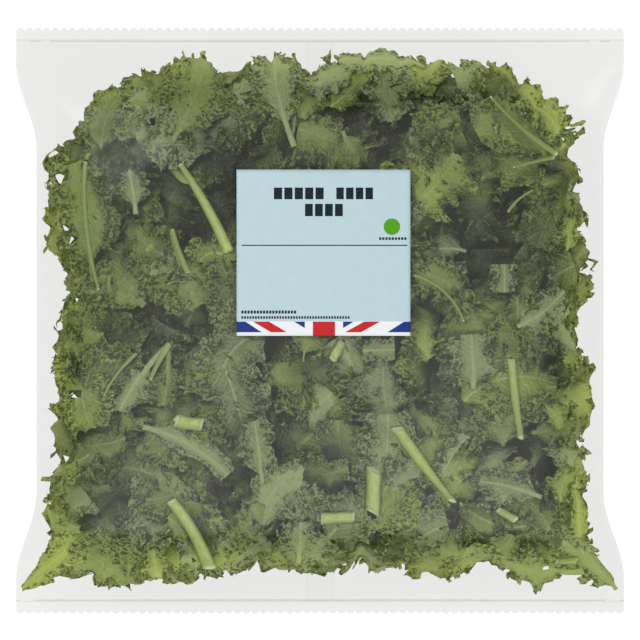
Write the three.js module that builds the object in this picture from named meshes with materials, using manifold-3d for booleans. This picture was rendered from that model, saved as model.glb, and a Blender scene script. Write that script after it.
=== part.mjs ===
// A clear film bag of cut curly kale, lying on its back.
//
// The film is one tube, flattened and welded shut at both ends under a zigzag cut, with a
// lap seam down its back. A square label is stuck on the front. Inside is a heap of curly
// leaf cut across into pieces, each with its length of pale rib, and some bare stem ends.
// +X is the label's right, +Y its top, +Z up. The origin is on the surface under the middle.
import * as THREE from "three";
import { mergeVertices } from "three/addons/utils/BufferGeometryUtils.js";
import Module from "manifold-3d";

const wasm = await Module();
wasm.setup();

// Driving dimensions, in millimetres.
const FLAT_WIDTH = 281; // the film tube pressed flat, so the width of each end
const BAG_LENGTH = 271; // from one zigzag edge to the other
const WAIST_WIDTH = 262; // across the filled middle
const SHOULDER = [80, 119]; // where the sides flare from the waist to the flat ends
const FILM = 0.6; // wall; the real film is much thinner
const SEAL_DEPTH = 6; // welded band at each end
const SEAL_THICK = 1.0;
const TOOTH = { pitch: 4.015, depth: 1.3 }; // zigzag cut
const LIE = 25; // height of the side folds above the surface
const RISE = 35; // from the side folds to the top of the middle
const SAG = 30; // from the side folds down, before the surface flattens it
const END_DROOP = 7; // how far the welded ends hang below the side folds
const VENT_RADIUS = 1.5; // a small vent hole through the back
const SEAM_WIDTH = 12;
const LABEL = { x: 1.6, y: 31.3, width: 80, height: 76.5, thick: 0.5, lift: 0.7 };

const LEAF_COUNT = 40; // cut leaf pieces strewn through the heap
const LEAF_THICK = 1.25;
const STATIONS = 11; // along a leaf piece
const HEAP = { x: 126, y: 123 }; // half sizes of the heap's outline
const SQUARENESS = { upper: 4.5, lower: 14 }; // the leaf fills the lower corners of the bag
const FOLD_FROM = 0.86; // share of the way out where pieces start to fold in
const FOLD_TO = 1.02;
const CLEAR = 1.1; // air kept between neighbours
const BRIDGING = 5; // a piece spans dips narrower than twice this
const FILL = 0.88; // share of the room that the heap swells to
const SWELL = { passes: 7, least: 0.15, most: 1.7 };
const CELL = 1; // of the height map that each piece settles on
const LEAF_GREEN = "#56702c";
const YOUNG_GREEN = "#7a9440";
const STEM_GREEN = "#b9cf78";

const clamp = (value, low, high) => Math.min(high, Math.max(low, value));
const fraction = (value) => value - Math.floor(value);
const smoothstep = (low, high, value) => {
  const t = clamp((value - low) / (high - low), 0, 1);
  return t * t * (3 - 2 * t);
};
// A repeatable draw from 0 to 1: the same piece and property always give the same number.
const draw = (piece, property) =>
  fraction(Math.sin(piece * 12.9898 + property * 78.233) * 43758.5453);
const drawBetween = (piece, property, low, high) => low + (high - low) * draw(piece, property);

// The bag's form: a rounded section that flares and flattens towards the welded ends.
const SEAL_LINE = BAG_LENGTH / 2 - SEAL_DEPTH;
const halfWidth = (y) =>
  WAIST_WIDTH / 2 + ((FLAT_WIDTH - WAIST_WIDTH) / 2) * smoothstep(...SHOULDER, Math.abs(y));
// The hollow closes a little before the weld, so that there is film all round it.
const closesAt = (inset) => SEAL_LINE - 5 * inset;
const dome = (y, inset) => (1 - Math.min(1, Math.abs(y) / closesAt(inset)) ** 4) ** 0.7;
const foldHeight = (y) => LIE - END_DROOP * smoothstep(95, SEAL_LINE, Math.abs(y));
const bulge = (x, y, inset) =>
  Math.sqrt(Math.max(0, 1 - Math.min(1, Math.abs(x) / (halfWidth(y) - inset)) ** 2.4));
const topOf = (x, y, inset) =>
  foldHeight(y) + Math.max(0, RISE * dome(y, inset) - inset) * bulge(x, y, inset);
const underOf = (x, y, inset) =>
  Math.max(inset, foldHeight(y) - Math.max(0, SAG * dome(y, inset) - inset) * bulge(x, y, inset));

// Solids.
function geometryOf(positions, indices) {
  const geometry = new THREE.BufferGeometry();
  geometry.setAttribute("position", new THREE.Float32BufferAttribute(positions, 3));
  geometry.setIndex(indices);
  return geometry;
}

function solidOf(geometry) {
  const plain = geometry.index ? geometry.toNonIndexed() : geometry.clone();
  plain.deleteAttribute("normal");
  plain.deleteAttribute("uv");
  const merged = mergeVertices(plain, 1e-4);
  return new wasm.Manifold(
    new wasm.Mesh({
      numProp: 3,
      vertProperties: merged.attributes.position.array,
      triVerts: new Uint32Array(merged.index.array),
    }),
  );
}

function geometryOfSolid(solid) {
  const mesh = solid.getMesh();
  const positions = [];
  for (let i = 0; i < mesh.numVert; i++)
    positions.push(...mesh.vertProperties.slice(i * mesh.numProp, i * mesh.numProp + 3));
  return geometryOf(positions, [...mesh.triVerts]);
}

function piece(name, geometry, colour, roughness, opacity = 1) {
  const material = new THREE.MeshStandardMaterial({
    color: colour,
    roughness,
    metalness: 0,
    transparent: opacity < 1,
    opacity,
  });
  const mesh = new THREE.Mesh(geometry, material);
  mesh.name = name;
  return mesh;
}

// A closed loft through rings of equal point count, capped at both ends.
function loft(rings) {
  const count = rings[0].length;
  const positions = rings.flat(2);
  const indices = [];
  for (let j = 0; j + 1 < rings.length; j++)
    for (let k = 0; k < count; k++) {
      const a = j * count + k;
      const b = j * count + ((k + 1) % count);
      indices.push(a, a + count, b, b, a + count, b + count);
    }
  const last = (rings.length - 1) * count;
  for (let k = 1; k + 1 < count; k++) {
    indices.push(0, k, k + 1);
    indices.push(last, last + k + 1, last + k);
  }
  return geometryOf(positions, indices);
}

// The film.
const RING_POINTS = 32;
const RING_ROWS = 9; // rows on each side of the middle
function bagRing(y, inset) {
  const apart = Math.max(SEAL_THICK / 2 - inset, 0.12);
  const fold = foldHeight(y);
  const ring = [];
  for (let k = 0; k < RING_POINTS; k++) {
    const turn = (2 * Math.PI * (k + 0.5)) / RING_POINTS;
    const out = Math.sign(Math.cos(turn)) * Math.abs(Math.cos(turn)) ** 0.8;
    const x = (halfWidth(y) - inset) * out;
    const isTop = turn < Math.PI;
    const top = Math.max(topOf(x, y, inset), fold + apart);
    const under = Math.min(underOf(x, y, inset), fold - apart);
    ring.push([x, y, isTop ? top : under]);
  }
  return ring;
}

function bagSkin(inset) {
  const reach = closesAt(inset);
  const rows = [];
  for (let j = -RING_ROWS; j <= RING_ROWS; j++) {
    const share = j / RING_ROWS;
    rows.push(reach * Math.sign(share) * Math.abs(share) ** 0.72);
  }
  return solidOf(loft(rows.map((y) => bagRing(y, inset))));
}

function weldedEnd(side) {
  const outline = new THREE.Shape();
  const inner = SEAL_LINE - 1;
  const teeth = Math.round(FLAT_WIDTH / TOOTH.pitch);
  const pitch = FLAT_WIDTH / teeth;
  outline.moveTo(-FLAT_WIDTH / 2, inner);
  outline.lineTo(FLAT_WIDTH / 2, inner);
  for (let i = 0; i <= teeth * 2; i++) {
    const edge = BAG_LENGTH / 2 - (i % 2 ? 0 : TOOTH.depth);
    outline.lineTo(FLAT_WIDTH / 2 - (i * pitch) / 2, edge);
  }
  const strip = new THREE.ExtrudeGeometry(outline, { depth: SEAL_THICK, bevelEnabled: false });
  strip.translate(0, 0, foldHeight(SEAL_LINE) - SEAL_THICK / 2);
  if (side < 0) strip.rotateZ(Math.PI);
  return solidOf(strip);
}

// The lap seam: the film's two edges welded flat against the back, from end to end.
function backSeam() {
  const steps = 14;
  const reach = SEAL_LINE - 0.5;
  const profile = new THREE.Shape();
  const at = (i) => -reach + (2 * reach * i) / steps;
  profile.moveTo(at(0), underOf(0, at(0), 0) + FILM / 2);
  for (let i = 0; i <= steps; i++) profile.lineTo(at(i), Math.max(0, underOf(0, at(i), 0) - 0.5));
  for (let i = steps; i > 0; i--) profile.lineTo(at(i), underOf(0, at(i), 0) + FILM / 2);
  const strip = new THREE.ExtrudeGeometry(profile, { depth: SEAM_WIDTH, bevelEnabled: false });
  // The profile's x runs along the bag and its y is height.
  strip.applyMatrix4(
    new THREE.Matrix4().makeBasis(
      new THREE.Vector3(0, 1, 0),
      new THREE.Vector3(0, 0, 1),
      new THREE.Vector3(1, 0, 0),
    ),
  );
  strip.translate(-SEAM_WIDTH / 2, 0, 0);
  return solidOf(strip);
}

function filmBag() {
  const vent = new THREE.CylinderGeometry(VENT_RADIUS, VENT_RADIUS, 12, 10);
  vent.rotateX(Math.PI / 2);
  vent.translate(40, 60, underOf(40, 60, 0) + FILM / 2);
  const hollow = bagSkin(FILM);
  const filled = bagSkin(0)
    .add(backSeam())
    .subtract(hollow)
    .add(weldedEnd(1))
    .add(weldedEnd(-1))
    .subtract(solidOf(vent));
  return geometryOfSolid(filled);
}

// A thin sheet or rod as a grid of points in plan with a lower and an upper height at each.
// The same diagonals split both faces.
function gridSolid(plan, lower, upper) {
  const rows = plan.length;
  const columns = plan[0].length;
  const positions = [];
  const indices = [];
  for (const height of [upper, lower])
    plan.forEach((row, i) => row.forEach(([x, y], j) => positions.push(x, y, height[i][j])));
  const top = (i, j) => i * columns + j;
  const under = (i, j) => rows * columns + top(i, j);
  const wall = (a, b) => {
    indices.push(under(...a), top(...b), under(...b));
    indices.push(under(...a), top(...a), top(...b));
  };
  trianglesOf(rows, columns).forEach(([a, b, c]) => {
    indices.push(top(...a), top(...c), top(...b));
    indices.push(under(...a), under(...b), under(...c));
  });
  for (let i = 0; i + 1 < rows; i++) {
    wall([i + 1, 0], [i, 0]);
    wall([i, columns - 1], [i + 1, columns - 1]);
  }
  for (let j = 0; j + 1 < columns; j++) {
    wall([0, j], [0, j + 1]);
    wall([rows - 1, j + 1], [rows - 1, j]);
  }
  return geometryOf(positions, indices);
}

// The grid's triangles, with diagonals that turn about from square to square.
function trianglesOf(rows, columns) {
  const made = [];
  for (let i = 0; i + 1 < rows; i++)
    for (let j = 0; j + 1 < columns; j++) {
      const [a, b, c, d] = [[i, j], [i, j + 1], [i + 1, j], [i + 1, j + 1]];
      if ((i + j) % 2) made.push([a, b, d], [a, d, c]);
      else made.push([a, b, c], [c, b, d]);
    }
  return made;
}

function label() {
  const steps = 6;
  const plan = [];
  const lower = [];
  const upper = [];
  for (let i = 0; i <= steps; i++) {
    const y = LABEL.y + LABEL.height * (0.5 - i / steps);
    const row = [];
    for (let j = 0; j <= steps; j++) row.push([LABEL.x + LABEL.width * (j / steps - 0.5), y]);
    plan.push(row);
    lower.push(row.map(([px, py]) => topOf(px, py, 0) + LABEL.lift));
    upper.push(lower[i].map((z) => z + LABEL.thick));
  }
  return gridSolid(plan, lower, upper);
}

// Cut leaf pieces. A piece's plan is a bent strip: u runs along its rib from the cut end,
// and each column is a distance to the left or right of the rib.
function leafForm(i) {
  return {
    heading: 2 * Math.PI * draw(i, 3),
    length: drawBetween(i, 4, 62, 86),
    left: drawBetween(i, 5, 25, 40),
    right: drawBetween(i, 6, 25, 40),
    bend: drawBetween(i, 7, -0.9, 0.9), // radians that the rib turns along the piece
    stalk: drawBetween(i, 8, 0.04, 0.26), // share of the length that is bare rib
    ribWidth: drawBetween(i, 9, 2.2, 3.9), // half width at the cut end
    tip: drawBetween(i, 10, 0.35, 0.85), // width left at the far end
    lobes: drawBetween(i, 11, 1.6, 2.6),
    phase: 2 * Math.PI * draw(i, 12),
    curl: drawBetween(i, 13, 2, 9),
    ruffle: drawBetween(i, 14, 5, 9),
  };
}

// Half width of the blade beside the rib, on one side, at u.
function bladeReach(form, side, u) {
  const widest = side > 0 ? form.right : form.left;
  const open = smoothstep(form.stalk * 0.7, form.stalk + 0.3, u);
  const close = 1 - (1 - form.tip) * smoothstep(0.62, 1, u);
  const lobe = 1 + 0.16 * Math.sin(2 * Math.PI * form.lobes * u + form.phase + side);
  return widest * open * close * lobe;
}

const ribReach = (form, u) => form.ribWidth * (1 - 0.62 * u);

// Where a point of the strip lies in plan, before the heap's outline bends it in.
function stripPoint(form, centre, u, across) {
  const turn = form.heading + form.bend * (u - 0.5);
  const along = (u - 0.5) * form.length;
  // The rib is an arc, so its chord is a little shorter than the arc.
  const half = (form.bend * (u - 0.5)) / 2;
  const chord = Math.abs(half) < 1e-4 ? along : (along * Math.sin(half)) / half;
  const aim = form.heading + half;
  return [
    centre[0] + chord * Math.cos(aim) - across * Math.sin(turn),
    centre[1] + chord * Math.sin(aim) + across * Math.cos(turn),
  ];
}

// How far out a point is: 1 on the heap's outline.
function outness([x, y]) {
  const power = y < 0 ? SQUARENESS.lower : SQUARENESS.upper;
  return (Math.abs(x / HEAP.x) ** power + Math.abs(y / HEAP.y) ** power) ** (1 / power);
}

// Points past the outline are folded back inside it.
function foldIn(point) {
  const far = outness(point);
  if (far <= FOLD_FROM) return point;
  const room = FOLD_TO - FOLD_FROM;
  const kept = FOLD_FROM + room * Math.tanh((far - FOLD_FROM) / room);
  return point.map((value) => (value * kept) / far);
}

// Columns across a leaf piece: margin, blade and rib edge on each side of the rib's middle.
function leafPlan(form, centre) {
  const plan = [];
  for (let i = 0; i < STATIONS; i++) {
    const u = i / (STATIONS - 1);
    const rib = ribReach(form, u);
    const row = [];
    for (const side of [-1, 1]) {
      const tooth = i % 2 ? 1.07 : 0.93;
      const reach = Math.max(rib * 1.15, bladeReach(form, side, u) * tooth);
      const isBlade = smoothstep(rib * 1.15, rib * 3.5, reach);
      const across = [reach, reach * (0.72 - 0.1 * isBlade), rib * (0.4 + 0.5 * isBlade)];
      row.push(...(side < 0 ? across : [0, ...across.reverse()]).map((value) => side * value));
    }
    plan.push(row.map((across) => foldIn(stripPoint(form, centre, u, across))));
  }
  return plan;
}

// Height of each column above the piece's own lowest shape, and its thickness.
function leafRelief(form) {
  const waves = Math.PI * (STATIONS - 1) * 0.5;
  const rows = [];
  for (let i = 0; i < STATIONS; i++) {
    const u = i / (STATIONS - 1);
    const rib = ribReach(form, u);
    const ribHeight = 2 * rib * 0.8;
    const open = smoothstep(form.stalk * 0.7, form.stalk + 0.25, u);
    const roll = (side, late) => 0.5 + 0.5 * Math.sin(waves * u + form.phase * side + late);
    const frill = i % 2 ? 0.35 : -0.35;
    const margin = (side) => open * (form.curl + form.ruffle * (roll(side, 0) + frill + 0.35));
    const blade = (side) => open * (0.35 * form.curl + 0.5 * form.ruffle * roll(side, 2.2));
    rows.push({
      rise: [margin(-1), blade(-1), 0.4, 0, 0.4, blade(1), margin(1)],
      thick: [0.55, 0.8, 0.95, 1, 0.95, 0.8, 0.55].map((share, j) => {
        const rod = ribHeight * share;
        const isRib = j >= 2 && j <= 4;
        return isRib ? Math.max(rod, LEAF_THICK * 1.2) : rod + (LEAF_THICK - rod) * open;
      }),
    });
  }
  return rows;
}

// Bare stem ends: straight rods, cut square or on the slant.
const STEM_COLUMNS = [-1, -0.7, 0, 0.7, 1];
function stemPlan(stem) {
  const plan = [];
  const stations = 5;
  for (let i = 0; i < stations; i++) {
    const u = i / (stations - 1);
    const form = { heading: stem.heading, bend: stem.bend, length: stem.length };
    const slant = (value) => value * stem.slant * stem.radius * (2 * Math.abs(u - 0.5)) ** 3;
    plan.push(
      STEM_COLUMNS.map((share) =>
        foldIn(stripPoint(form, stem.at, u + slant(share) / stem.length, share * stem.radius)),
      ),
    );
  }
  return plan;
}

const stemRelief = (stem) =>
  stemPlan(stem).map(() => ({
    rise: STEM_COLUMNS.map((share) => stem.radius * 0.75 * (1 - Math.sqrt(1 - 0.9 * share * share))),
    thick: STEM_COLUMNS.map((share) => 1.5 * stem.radius * Math.sqrt(1 - 0.9 * share * share)),
  }));

// The stem ends that show through the front, placed as they lie there.
const deg = Math.PI / 180;
const STEMS = [
  { at: [46.5, -66], heading: -54 * deg, length: 40, radius: 3.9, bend: 0.1, slant: 0.5 },
  { at: [24, -78], heading: -94 * deg, length: 22, radius: 3.8, bend: 0, slant: 0.4 },
  { at: [4.5, -90], heading: 2 * deg, length: 17, radius: 3.0, bend: 0, slant: 0.2 },
  { at: [-58, -95], heading: -66 * deg, length: 34, radius: 3.6, bend: -0.5, slant: 0.3 },
  { at: [-53, 52], heading: -57 * deg, length: 46, radius: 3.4, bend: -0.2, slant: 0.5 },
  { at: [90, -36], heading: -83 * deg, length: 36, radius: 3.0, bend: 0.1, slant: 0.3 },
];

// The heap. Each piece settles on a height map of what lies below it, in order.
const MAP_X = 136;
const MAP_Y = 132;
const MAP_COLUMNS = (2 * MAP_X) / CELL;
const MAP_ROWS = (2 * MAP_Y) / CELL;
const columnOf = (x) => clamp(Math.floor((x + MAP_X) / CELL), 0, MAP_COLUMNS - 1);
const rowOf = (y) => clamp(Math.floor((y + MAP_Y) / CELL), 0, MAP_ROWS - 1);
const floorAt = ([x, y]) => underOf(x, y, FILM) + CLEAR;
const ceilingAt = ([x, y]) => topOf(x, y, FILM) - CLEAR;

// Calls visit(cell, shares) for the map cells whose middles lie in a triangle, or by its edge.
function overTriangle(points, visit) {
  const [[ax, ay], [bx, by], [cx, cy]] = points;
  const area = (bx - ax) * (cy - ay) - (cx - ax) * (by - ay);
  if (Math.abs(area) < 1e-6) return;
  const slack = CELL * 0.5;
  const spare = (slack * 12) / Math.abs(area);
  const rowsTo = rowOf(Math.max(ay, by, cy) + slack);
  const columnsTo = columnOf(Math.max(ax, bx, cx) + slack);
  for (let r = rowOf(Math.min(ay, by, cy) - slack); r <= rowsTo; r++)
    for (let c = columnOf(Math.min(ax, bx, cx) - slack); c <= columnsTo; c++) {
      const x = -MAP_X + (c + 0.5) * CELL;
      const y = -MAP_Y + (r + 0.5) * CELL;
      const wb = ((x - ax) * (cy - ay) - (cx - ax) * (y - ay)) / area;
      const wc = ((bx - ax) * (y - ay) - (x - ax) * (by - ay)) / area;
      const wa = 1 - wb - wc;
      if (wa < -spare || wb < -spare || wc < -spare) continue;
      visit(r * MAP_COLUMNS + c, [wa, wb, wc]);
    }
}

function highestNear(map, [x, y], radius) {
  let found = -1;
  const reach = Math.ceil(radius / CELL);
  const row = rowOf(y);
  const column = columnOf(x);
  for (let r = Math.max(0, row - reach); r <= Math.min(MAP_ROWS - 1, row + reach); r += 2)
    for (let c = Math.max(0, column - reach); c <= Math.min(MAP_COLUMNS - 1, column + reach); c += 2)
      if ((r - row) ** 2 + (c - column) ** 2 <= reach * reach)
        found = Math.max(found, map[r * MAP_COLUMNS + c]);
  return found;
}

// The map holds shares of the room between floor and ceiling, so that it nests at the sides.
const roomAt = (point) => Math.max(1, ceilingAt(point) - floorAt(point));
const shareOf = (point, z) => (z - floorAt(point)) / roomAt(point);
const heightOf = (point, share) => floorAt(point) + share * roomAt(point);

const cellPoint = (cell) => [
  -MAP_X + ((cell % MAP_COLUMNS) + 0.5) * CELL,
  -MAP_Y + (Math.floor(cell / MAP_COLUMNS) + 0.5) * CELL,
];
const blend = (heights, shares) =>
  heights[0] * shares[0] + heights[1] * shares[1] + heights[2] * shares[2];

// Calls visit(corners, cell, shares) for every map cell under a piece.
function underPiece(plan, visit) {
  for (const corners of trianglesOf(plan.length, plan[0].length)) {
    const points = corners.map(([i, j]) => plan[i][j]);
    overTriangle(points, (cell, shares) => visit(corners, cell, shares));
  }
}

// A leaf piece sinks until it touches: each place that is short pushes up the corners near it.
function drape(map, plan, relief, swell) {
  const lower = plan.map((row, i) =>
    row.map((point, j) => {
      const squeeze = roomAt(point) / roomAt([0, 0]);
      const below = Math.max(0, highestNear(map, point, BRIDGING));
      const rib = relief[i].thick[j] > 2 ? 0 : 0.4;
      return heightOf(point, below) + relief[i].rise[j] * swell(point) * squeeze + rib;
    }),
  );
  for (let pass = 0; pass < 40; pass++) {
    let worst = 0;
    underPiece(plan, (corners, cell, shares) => {
      if (map[cell] < 0) return;
      const z = blend(corners.map(([i, j]) => lower[i][j]), shares);
      const short = heightOf(cellPoint(cell), map[cell]) + CLEAR - z;
      if (short < 0.02) return;
      worst = Math.max(worst, short);
      const kept = shares.map((share) => Math.max(0, share));
      const weight = kept[0] ** 2 + kept[1] ** 2 + kept[2] ** 2;
      corners.forEach(([i, j], k) => (lower[i][j] += (short * kept[k]) / weight));
    });
    if (worst < 0.02) break;
  }
  return lower;
}

// A stem doesn't bend to what it lies on: it tilts with it, and rests on the highest place.
function rest(map, plan, relief) {
  const middle = plan.map((row) => heightOf(row[2], Math.max(0, highestNear(map, row[2], 2))));
  const last = plan.length - 1;
  const slope = clamp((middle[last] - middle[0]) / last, -1.5, 1.5);
  const lower = plan.map((_, i) => relief[i].rise.map((rise) => rise + slope * i));
  let short = -Infinity;
  underPiece(plan, (corners, cell, shares) => {
    const z = blend(corners.map(([i, j]) => lower[i][j]), shares);
    const needed = heightOf(cellPoint(cell), Math.max(0, map[cell])) + CLEAR;
    short = Math.max(short, needed - z);
  });
  return lower.map((row) => row.map((z) => z + short));
}

// Adds a settled piece to the map.
function laid(map, plan, relief, lower) {
  const upper = lower.map((row, i) => row.map((z, j) => z + relief[i].thick[j]));
  underPiece(plan, (corners, cell, shares) => {
    const z = blend(corners.map(([i, j]) => upper[i][j]), shares);
    map[cell] = Math.max(map[cell], shareOf(cellPoint(cell), z));
  });
  return { plan, lower, upper };
}

// Evenly strewn centres. A piece that crosses the outline slides straight in from it.
function strewnCentre(i, form) {
  const centre = [
    HEAP.x * (2 * fraction(0.5 + i * 0.7548776662466927) - 1),
    HEAP.y * (2 * fraction(0.5 + i * 0.5698402909980532) - 1),
  ];
  const reaches = [0, 0.5, 1].flatMap((u) => [
    [u, -form.left * 0.8],
    [u, form.right * 0.8],
  ]);
  for (let pass = 0; pass < 60; pass++) {
    const points = reaches.map(([u, v]) => stripPoint(form, centre, u, v));
    const furthest = points.reduce((a, b) => (outness(b) > outness(a) ? b : a));
    if (outness(furthest) <= 1) break;
    const axis = Math.abs(furthest[0] / HEAP.x) > Math.abs(furthest[1] / HEAP.y) ? 0 : 1;
    centre[axis] -= 2 * Math.sign(furthest[axis]);
  }
  return centre;
}

function heap(swell) {
  const map = new Float32Array(MAP_COLUMNS * MAP_ROWS).fill(-1);
  const pieces = [];
  for (let i = 0; i < LEAF_COUNT; i++) {
    const form = leafForm(i);
    const plan = leafPlan(form, strewnCentre(i, form));
    const relief = leafRelief(form);
    pieces.push({ kind: "leaf_piece", ...laid(map, plan, relief, drape(map, plan, relief, swell)) });
  }
  STEMS.forEach((stem) => {
    const plan = stemPlan(stem);
    const relief = stemRelief(stem);
    pieces.push({ kind: "stem_end", ...laid(map, plan, relief, rest(map, plan, relief)) });
  });
  return { pieces, map };
}

// How full the room is near each point of a coarse lattice.
const LATTICE = 9;
function fullness(map) {
  const made = [];
  for (let a = 0; a < LATTICE; a++)
    for (let b = 0; b < LATTICE; b++) {
      const x = HEAP.x * ((2 * a + 1) / LATTICE - 1);
      const y = HEAP.y * ((2 * b + 1) / LATTICE - 1);
      made.push(highestNear(map, [x, y], HEAP.x / LATTICE));
    }
  return made;
}

function latticeValue(values, [x, y]) {
  const a = clamp(((x / HEAP.x + 1) / 2) * LATTICE - 0.5, 0, LATTICE - 1.001);
  const b = clamp(((y / HEAP.y + 1) / 2) * LATTICE - 0.5, 0, LATTICE - 1.001);
  const [i, j] = [Math.floor(a), Math.floor(b)];
  const between = (low, high, share) => low + (high - low) * share;
  const along = (row) => between(values[row * LATTICE + j], values[row * LATTICE + j + 1], b - j);
  return between(along(i), along(i + 1), a - i);
}

// The ruffles swell, place by place, until the heap fills the bag.
function filledHeap() {
  let swell = new Array(LATTICE * LATTICE).fill(1);
  let made;
  for (let pass = 0; pass < SWELL.passes; pass++) {
    made = heap((point) => latticeValue(swell, point));
    const full = fullness(made.map).map((share) => Math.max(share, 0.3));
    swell = swell.map((value, k) =>
      clamp(value * clamp(FILL / full[k], 0.6, 1.5), SWELL.least, SWELL.most),
    );
  }
  return pressed(made.pieces);
}

// Whatever still stands too high is pressed down, and all the rest with it.
function pressed(pieces) {
  let press = 1;
  const everywhere = (visit) => {
    for (const { plan, upper, lower } of pieces)
      plan.forEach((row, i) => row.forEach((point, j) => visit(point, upper[i], lower[i], j)));
  };
  everywhere((point, upper, lower, j) => {
    const room = ceilingAt(point) - floorAt(point);
    press = Math.min(press, room / Math.max(upper[j] - floorAt(point), 1e-6));
  });
  everywhere((point, upper, lower, j) => {
    for (const height of [upper, lower])
      height[j] = floorAt(point) + (height[j] - floorAt(point)) * press;
  });
  return pieces;
}

const bag = new THREE.Group();
bag.add(piece("film_bag", filmBag(), "#eef0ec", 0.25, 0.2));
bag.add(piece("label", label(), "#bcd6de", 0.5));
const counts = { leaf_piece: 0, stem_end: 0 };
for (const { kind, plan, lower, upper } of filledHeap()) {
  counts[kind] += 1;
  const name = kind + "_" + String(counts[kind]).padStart(2, "0");
  const leafColour = draw(counts[kind], 20) < 0.7 ? LEAF_GREEN : YOUNG_GREEN;
  const isLeaf = kind === "leaf_piece";
  const colour = isLeaf ? leafColour : STEM_GREEN;
  bag.add(piece(name, gridSolid(plan, lower, upper), colour, isLeaf ? 0.55 : 0.4));
}

export default bag;
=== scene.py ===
# %% [markdown]
# # A bag of cut curly kale
#
# The object is a pillow bag: one tube of clear film, welded flat across both ends and cut
# with a zigzag blade. A pale blue label is stuck on its front. It is full of curly kale that
# was cut into pieces, and it lies on its back. The bag's form and the larger pieces come
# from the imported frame. This lesson gives them their fine surfaces: frilled leaf, ribs,
# cut stems, creased film and a printed label.

# %% Load the frame
import math

import bmesh
import bpy
import numpy as np
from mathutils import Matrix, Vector, noise
from mathutils.bvhtree import BVHTree


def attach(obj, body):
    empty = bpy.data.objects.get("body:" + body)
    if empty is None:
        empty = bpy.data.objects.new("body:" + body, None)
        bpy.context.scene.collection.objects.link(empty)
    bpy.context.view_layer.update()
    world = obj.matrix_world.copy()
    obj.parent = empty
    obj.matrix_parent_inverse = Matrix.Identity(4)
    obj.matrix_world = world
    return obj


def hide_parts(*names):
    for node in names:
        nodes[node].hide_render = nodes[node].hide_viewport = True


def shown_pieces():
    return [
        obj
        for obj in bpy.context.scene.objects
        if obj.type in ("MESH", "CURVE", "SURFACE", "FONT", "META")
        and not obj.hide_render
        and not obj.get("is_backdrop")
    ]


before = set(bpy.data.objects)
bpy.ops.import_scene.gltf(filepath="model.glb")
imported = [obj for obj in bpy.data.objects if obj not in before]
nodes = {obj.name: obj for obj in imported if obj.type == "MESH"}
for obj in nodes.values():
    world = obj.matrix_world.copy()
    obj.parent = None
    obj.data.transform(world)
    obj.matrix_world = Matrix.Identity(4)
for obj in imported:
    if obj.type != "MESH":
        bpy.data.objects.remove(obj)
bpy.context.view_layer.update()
MM = 0.001  # the frame is in metres, and every size below is in millimetres

# %% [markdown]
# ## Moving many points at once
#
# Every surface here starts as a plain mesh from a bmesh operator, and then all its points are
# moved together. Blender hands them over as one long row of numbers, which numpy can bend in
# a single formula. These helpers read the points, write them back with the values that the
# finishes need, and put the finished piece in the scene.

# %% Helpers for meshes and objects
def finished_mesh(bm, name):
    mesh = bpy.data.meshes.new(name)
    bm.to_mesh(mesh)
    bm.free()
    return mesh


def grid_mesh(name, columns, rows, size=1):
    """A flat grid from -size to size both ways."""
    bm = bmesh.new()
    bmesh.ops.create_grid(bm, x_segments=columns, y_segments=rows, size=size)
    return finished_mesh(bm, name)


def points_of(mesh):
    co = np.empty(len(mesh.vertices) * 3)
    mesh.vertices.foreach_get("co", co)
    return co.reshape(-1, 3)


def move_points(mesh, x, y, z):
    """Puts the points at places in mm."""
    mesh.vertices.foreach_set("co", (np.stack([x, y, z], -1) * MM).ravel())


def write_values(mesh, title, values):
    """An attribute that a finish can read."""
    mesh.attributes.new(title, "FLOAT", "POINT").data.foreach_set("value", values)


def write_map(mesh, title, along, across):
    """A UV map in centimetres on the surface itself."""
    corner = np.empty(len(mesh.loops), int)
    mesh.loops.foreach_get("vertex_index", corner)
    uv = np.stack([along / 10, across / 10], -1)
    mesh.uv_layers.new(name=title).data.foreach_set("uv", uv[corner].ravel())


def smooth_faces(mesh):
    mesh.polygons.foreach_set("use_smooth", [True] * len(mesh.polygons))


def in_scene(name, data):
    obj = bpy.data.objects.new(name, data)
    bpy.context.scene.collection.objects.link(obj)
    return obj


def thicken(obj, thickness, offset):
    solid = obj.modifiers.new("thickness", "SOLIDIFY")
    solid.thickness = thickness * MM
    solid.offset = offset
    return solid


# %% [markdown]
# ## The room inside the bag
#
# Leaf lies pressed against film, so both are shaped by the same few curves. A filled pillow
# bag is narrower across its waist than at its flat ends, because the tube's girth is used up
# going round the heap. The curves below give the height of the front film and of the back
# film over any place in plan. They are the same ones that the solid bag was built from.

# %% The bag's form
FLAT_WIDTH = 281.0  # of the flattened tube, so of the bag along its welds
BAG_LENGTH = 271.0  # from the tips of one row of teeth to the other
WAIST_WIDTH = 262.0  # of the filled bag
SHOULDER = (80.0, 119.0)  # where its sides start and end their flare, from the middle
SEAL_DEPTH = 6.0
SEAL_LINE = BAG_LENGTH / 2 - SEAL_DEPTH
LIE = 25.0  # height of the side folds above the ground
RISE = 35.0  # of the front film above the folds
SAG = 30.0  # of the back film below them, before the ground flattens it
END_DROOP = 7.0  # the welds lie that much lower than the folds
FILM = 0.6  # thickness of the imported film
print("the bag is", FLAT_WIDTH, "by", BAG_LENGTH, "mm, and", WAIST_WIDTH, "mm across its waist")


# %% Height of the front and back film
def smoothstep(low, high, value):
    t = np.clip((value - low) / (high - low), 0.0, 1.0)
    return t * t * (3 - 2 * t)


def half_width(y):
    return WAIST_WIDTH / 2 + (FLAT_WIDTH - WAIST_WIDTH) / 2 * smoothstep(*SHOULDER, np.abs(y))


def dome(y, inset):
    """The share of the full rise at y. An inset keeps that far from the outer face."""
    closes = SEAL_LINE - 5 * inset
    return (1 - np.minimum(1, np.abs(y) / closes) ** 4) ** 0.7


def fold_height(y):
    return LIE - END_DROOP * smoothstep(95, SEAL_LINE, np.abs(y))


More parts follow.
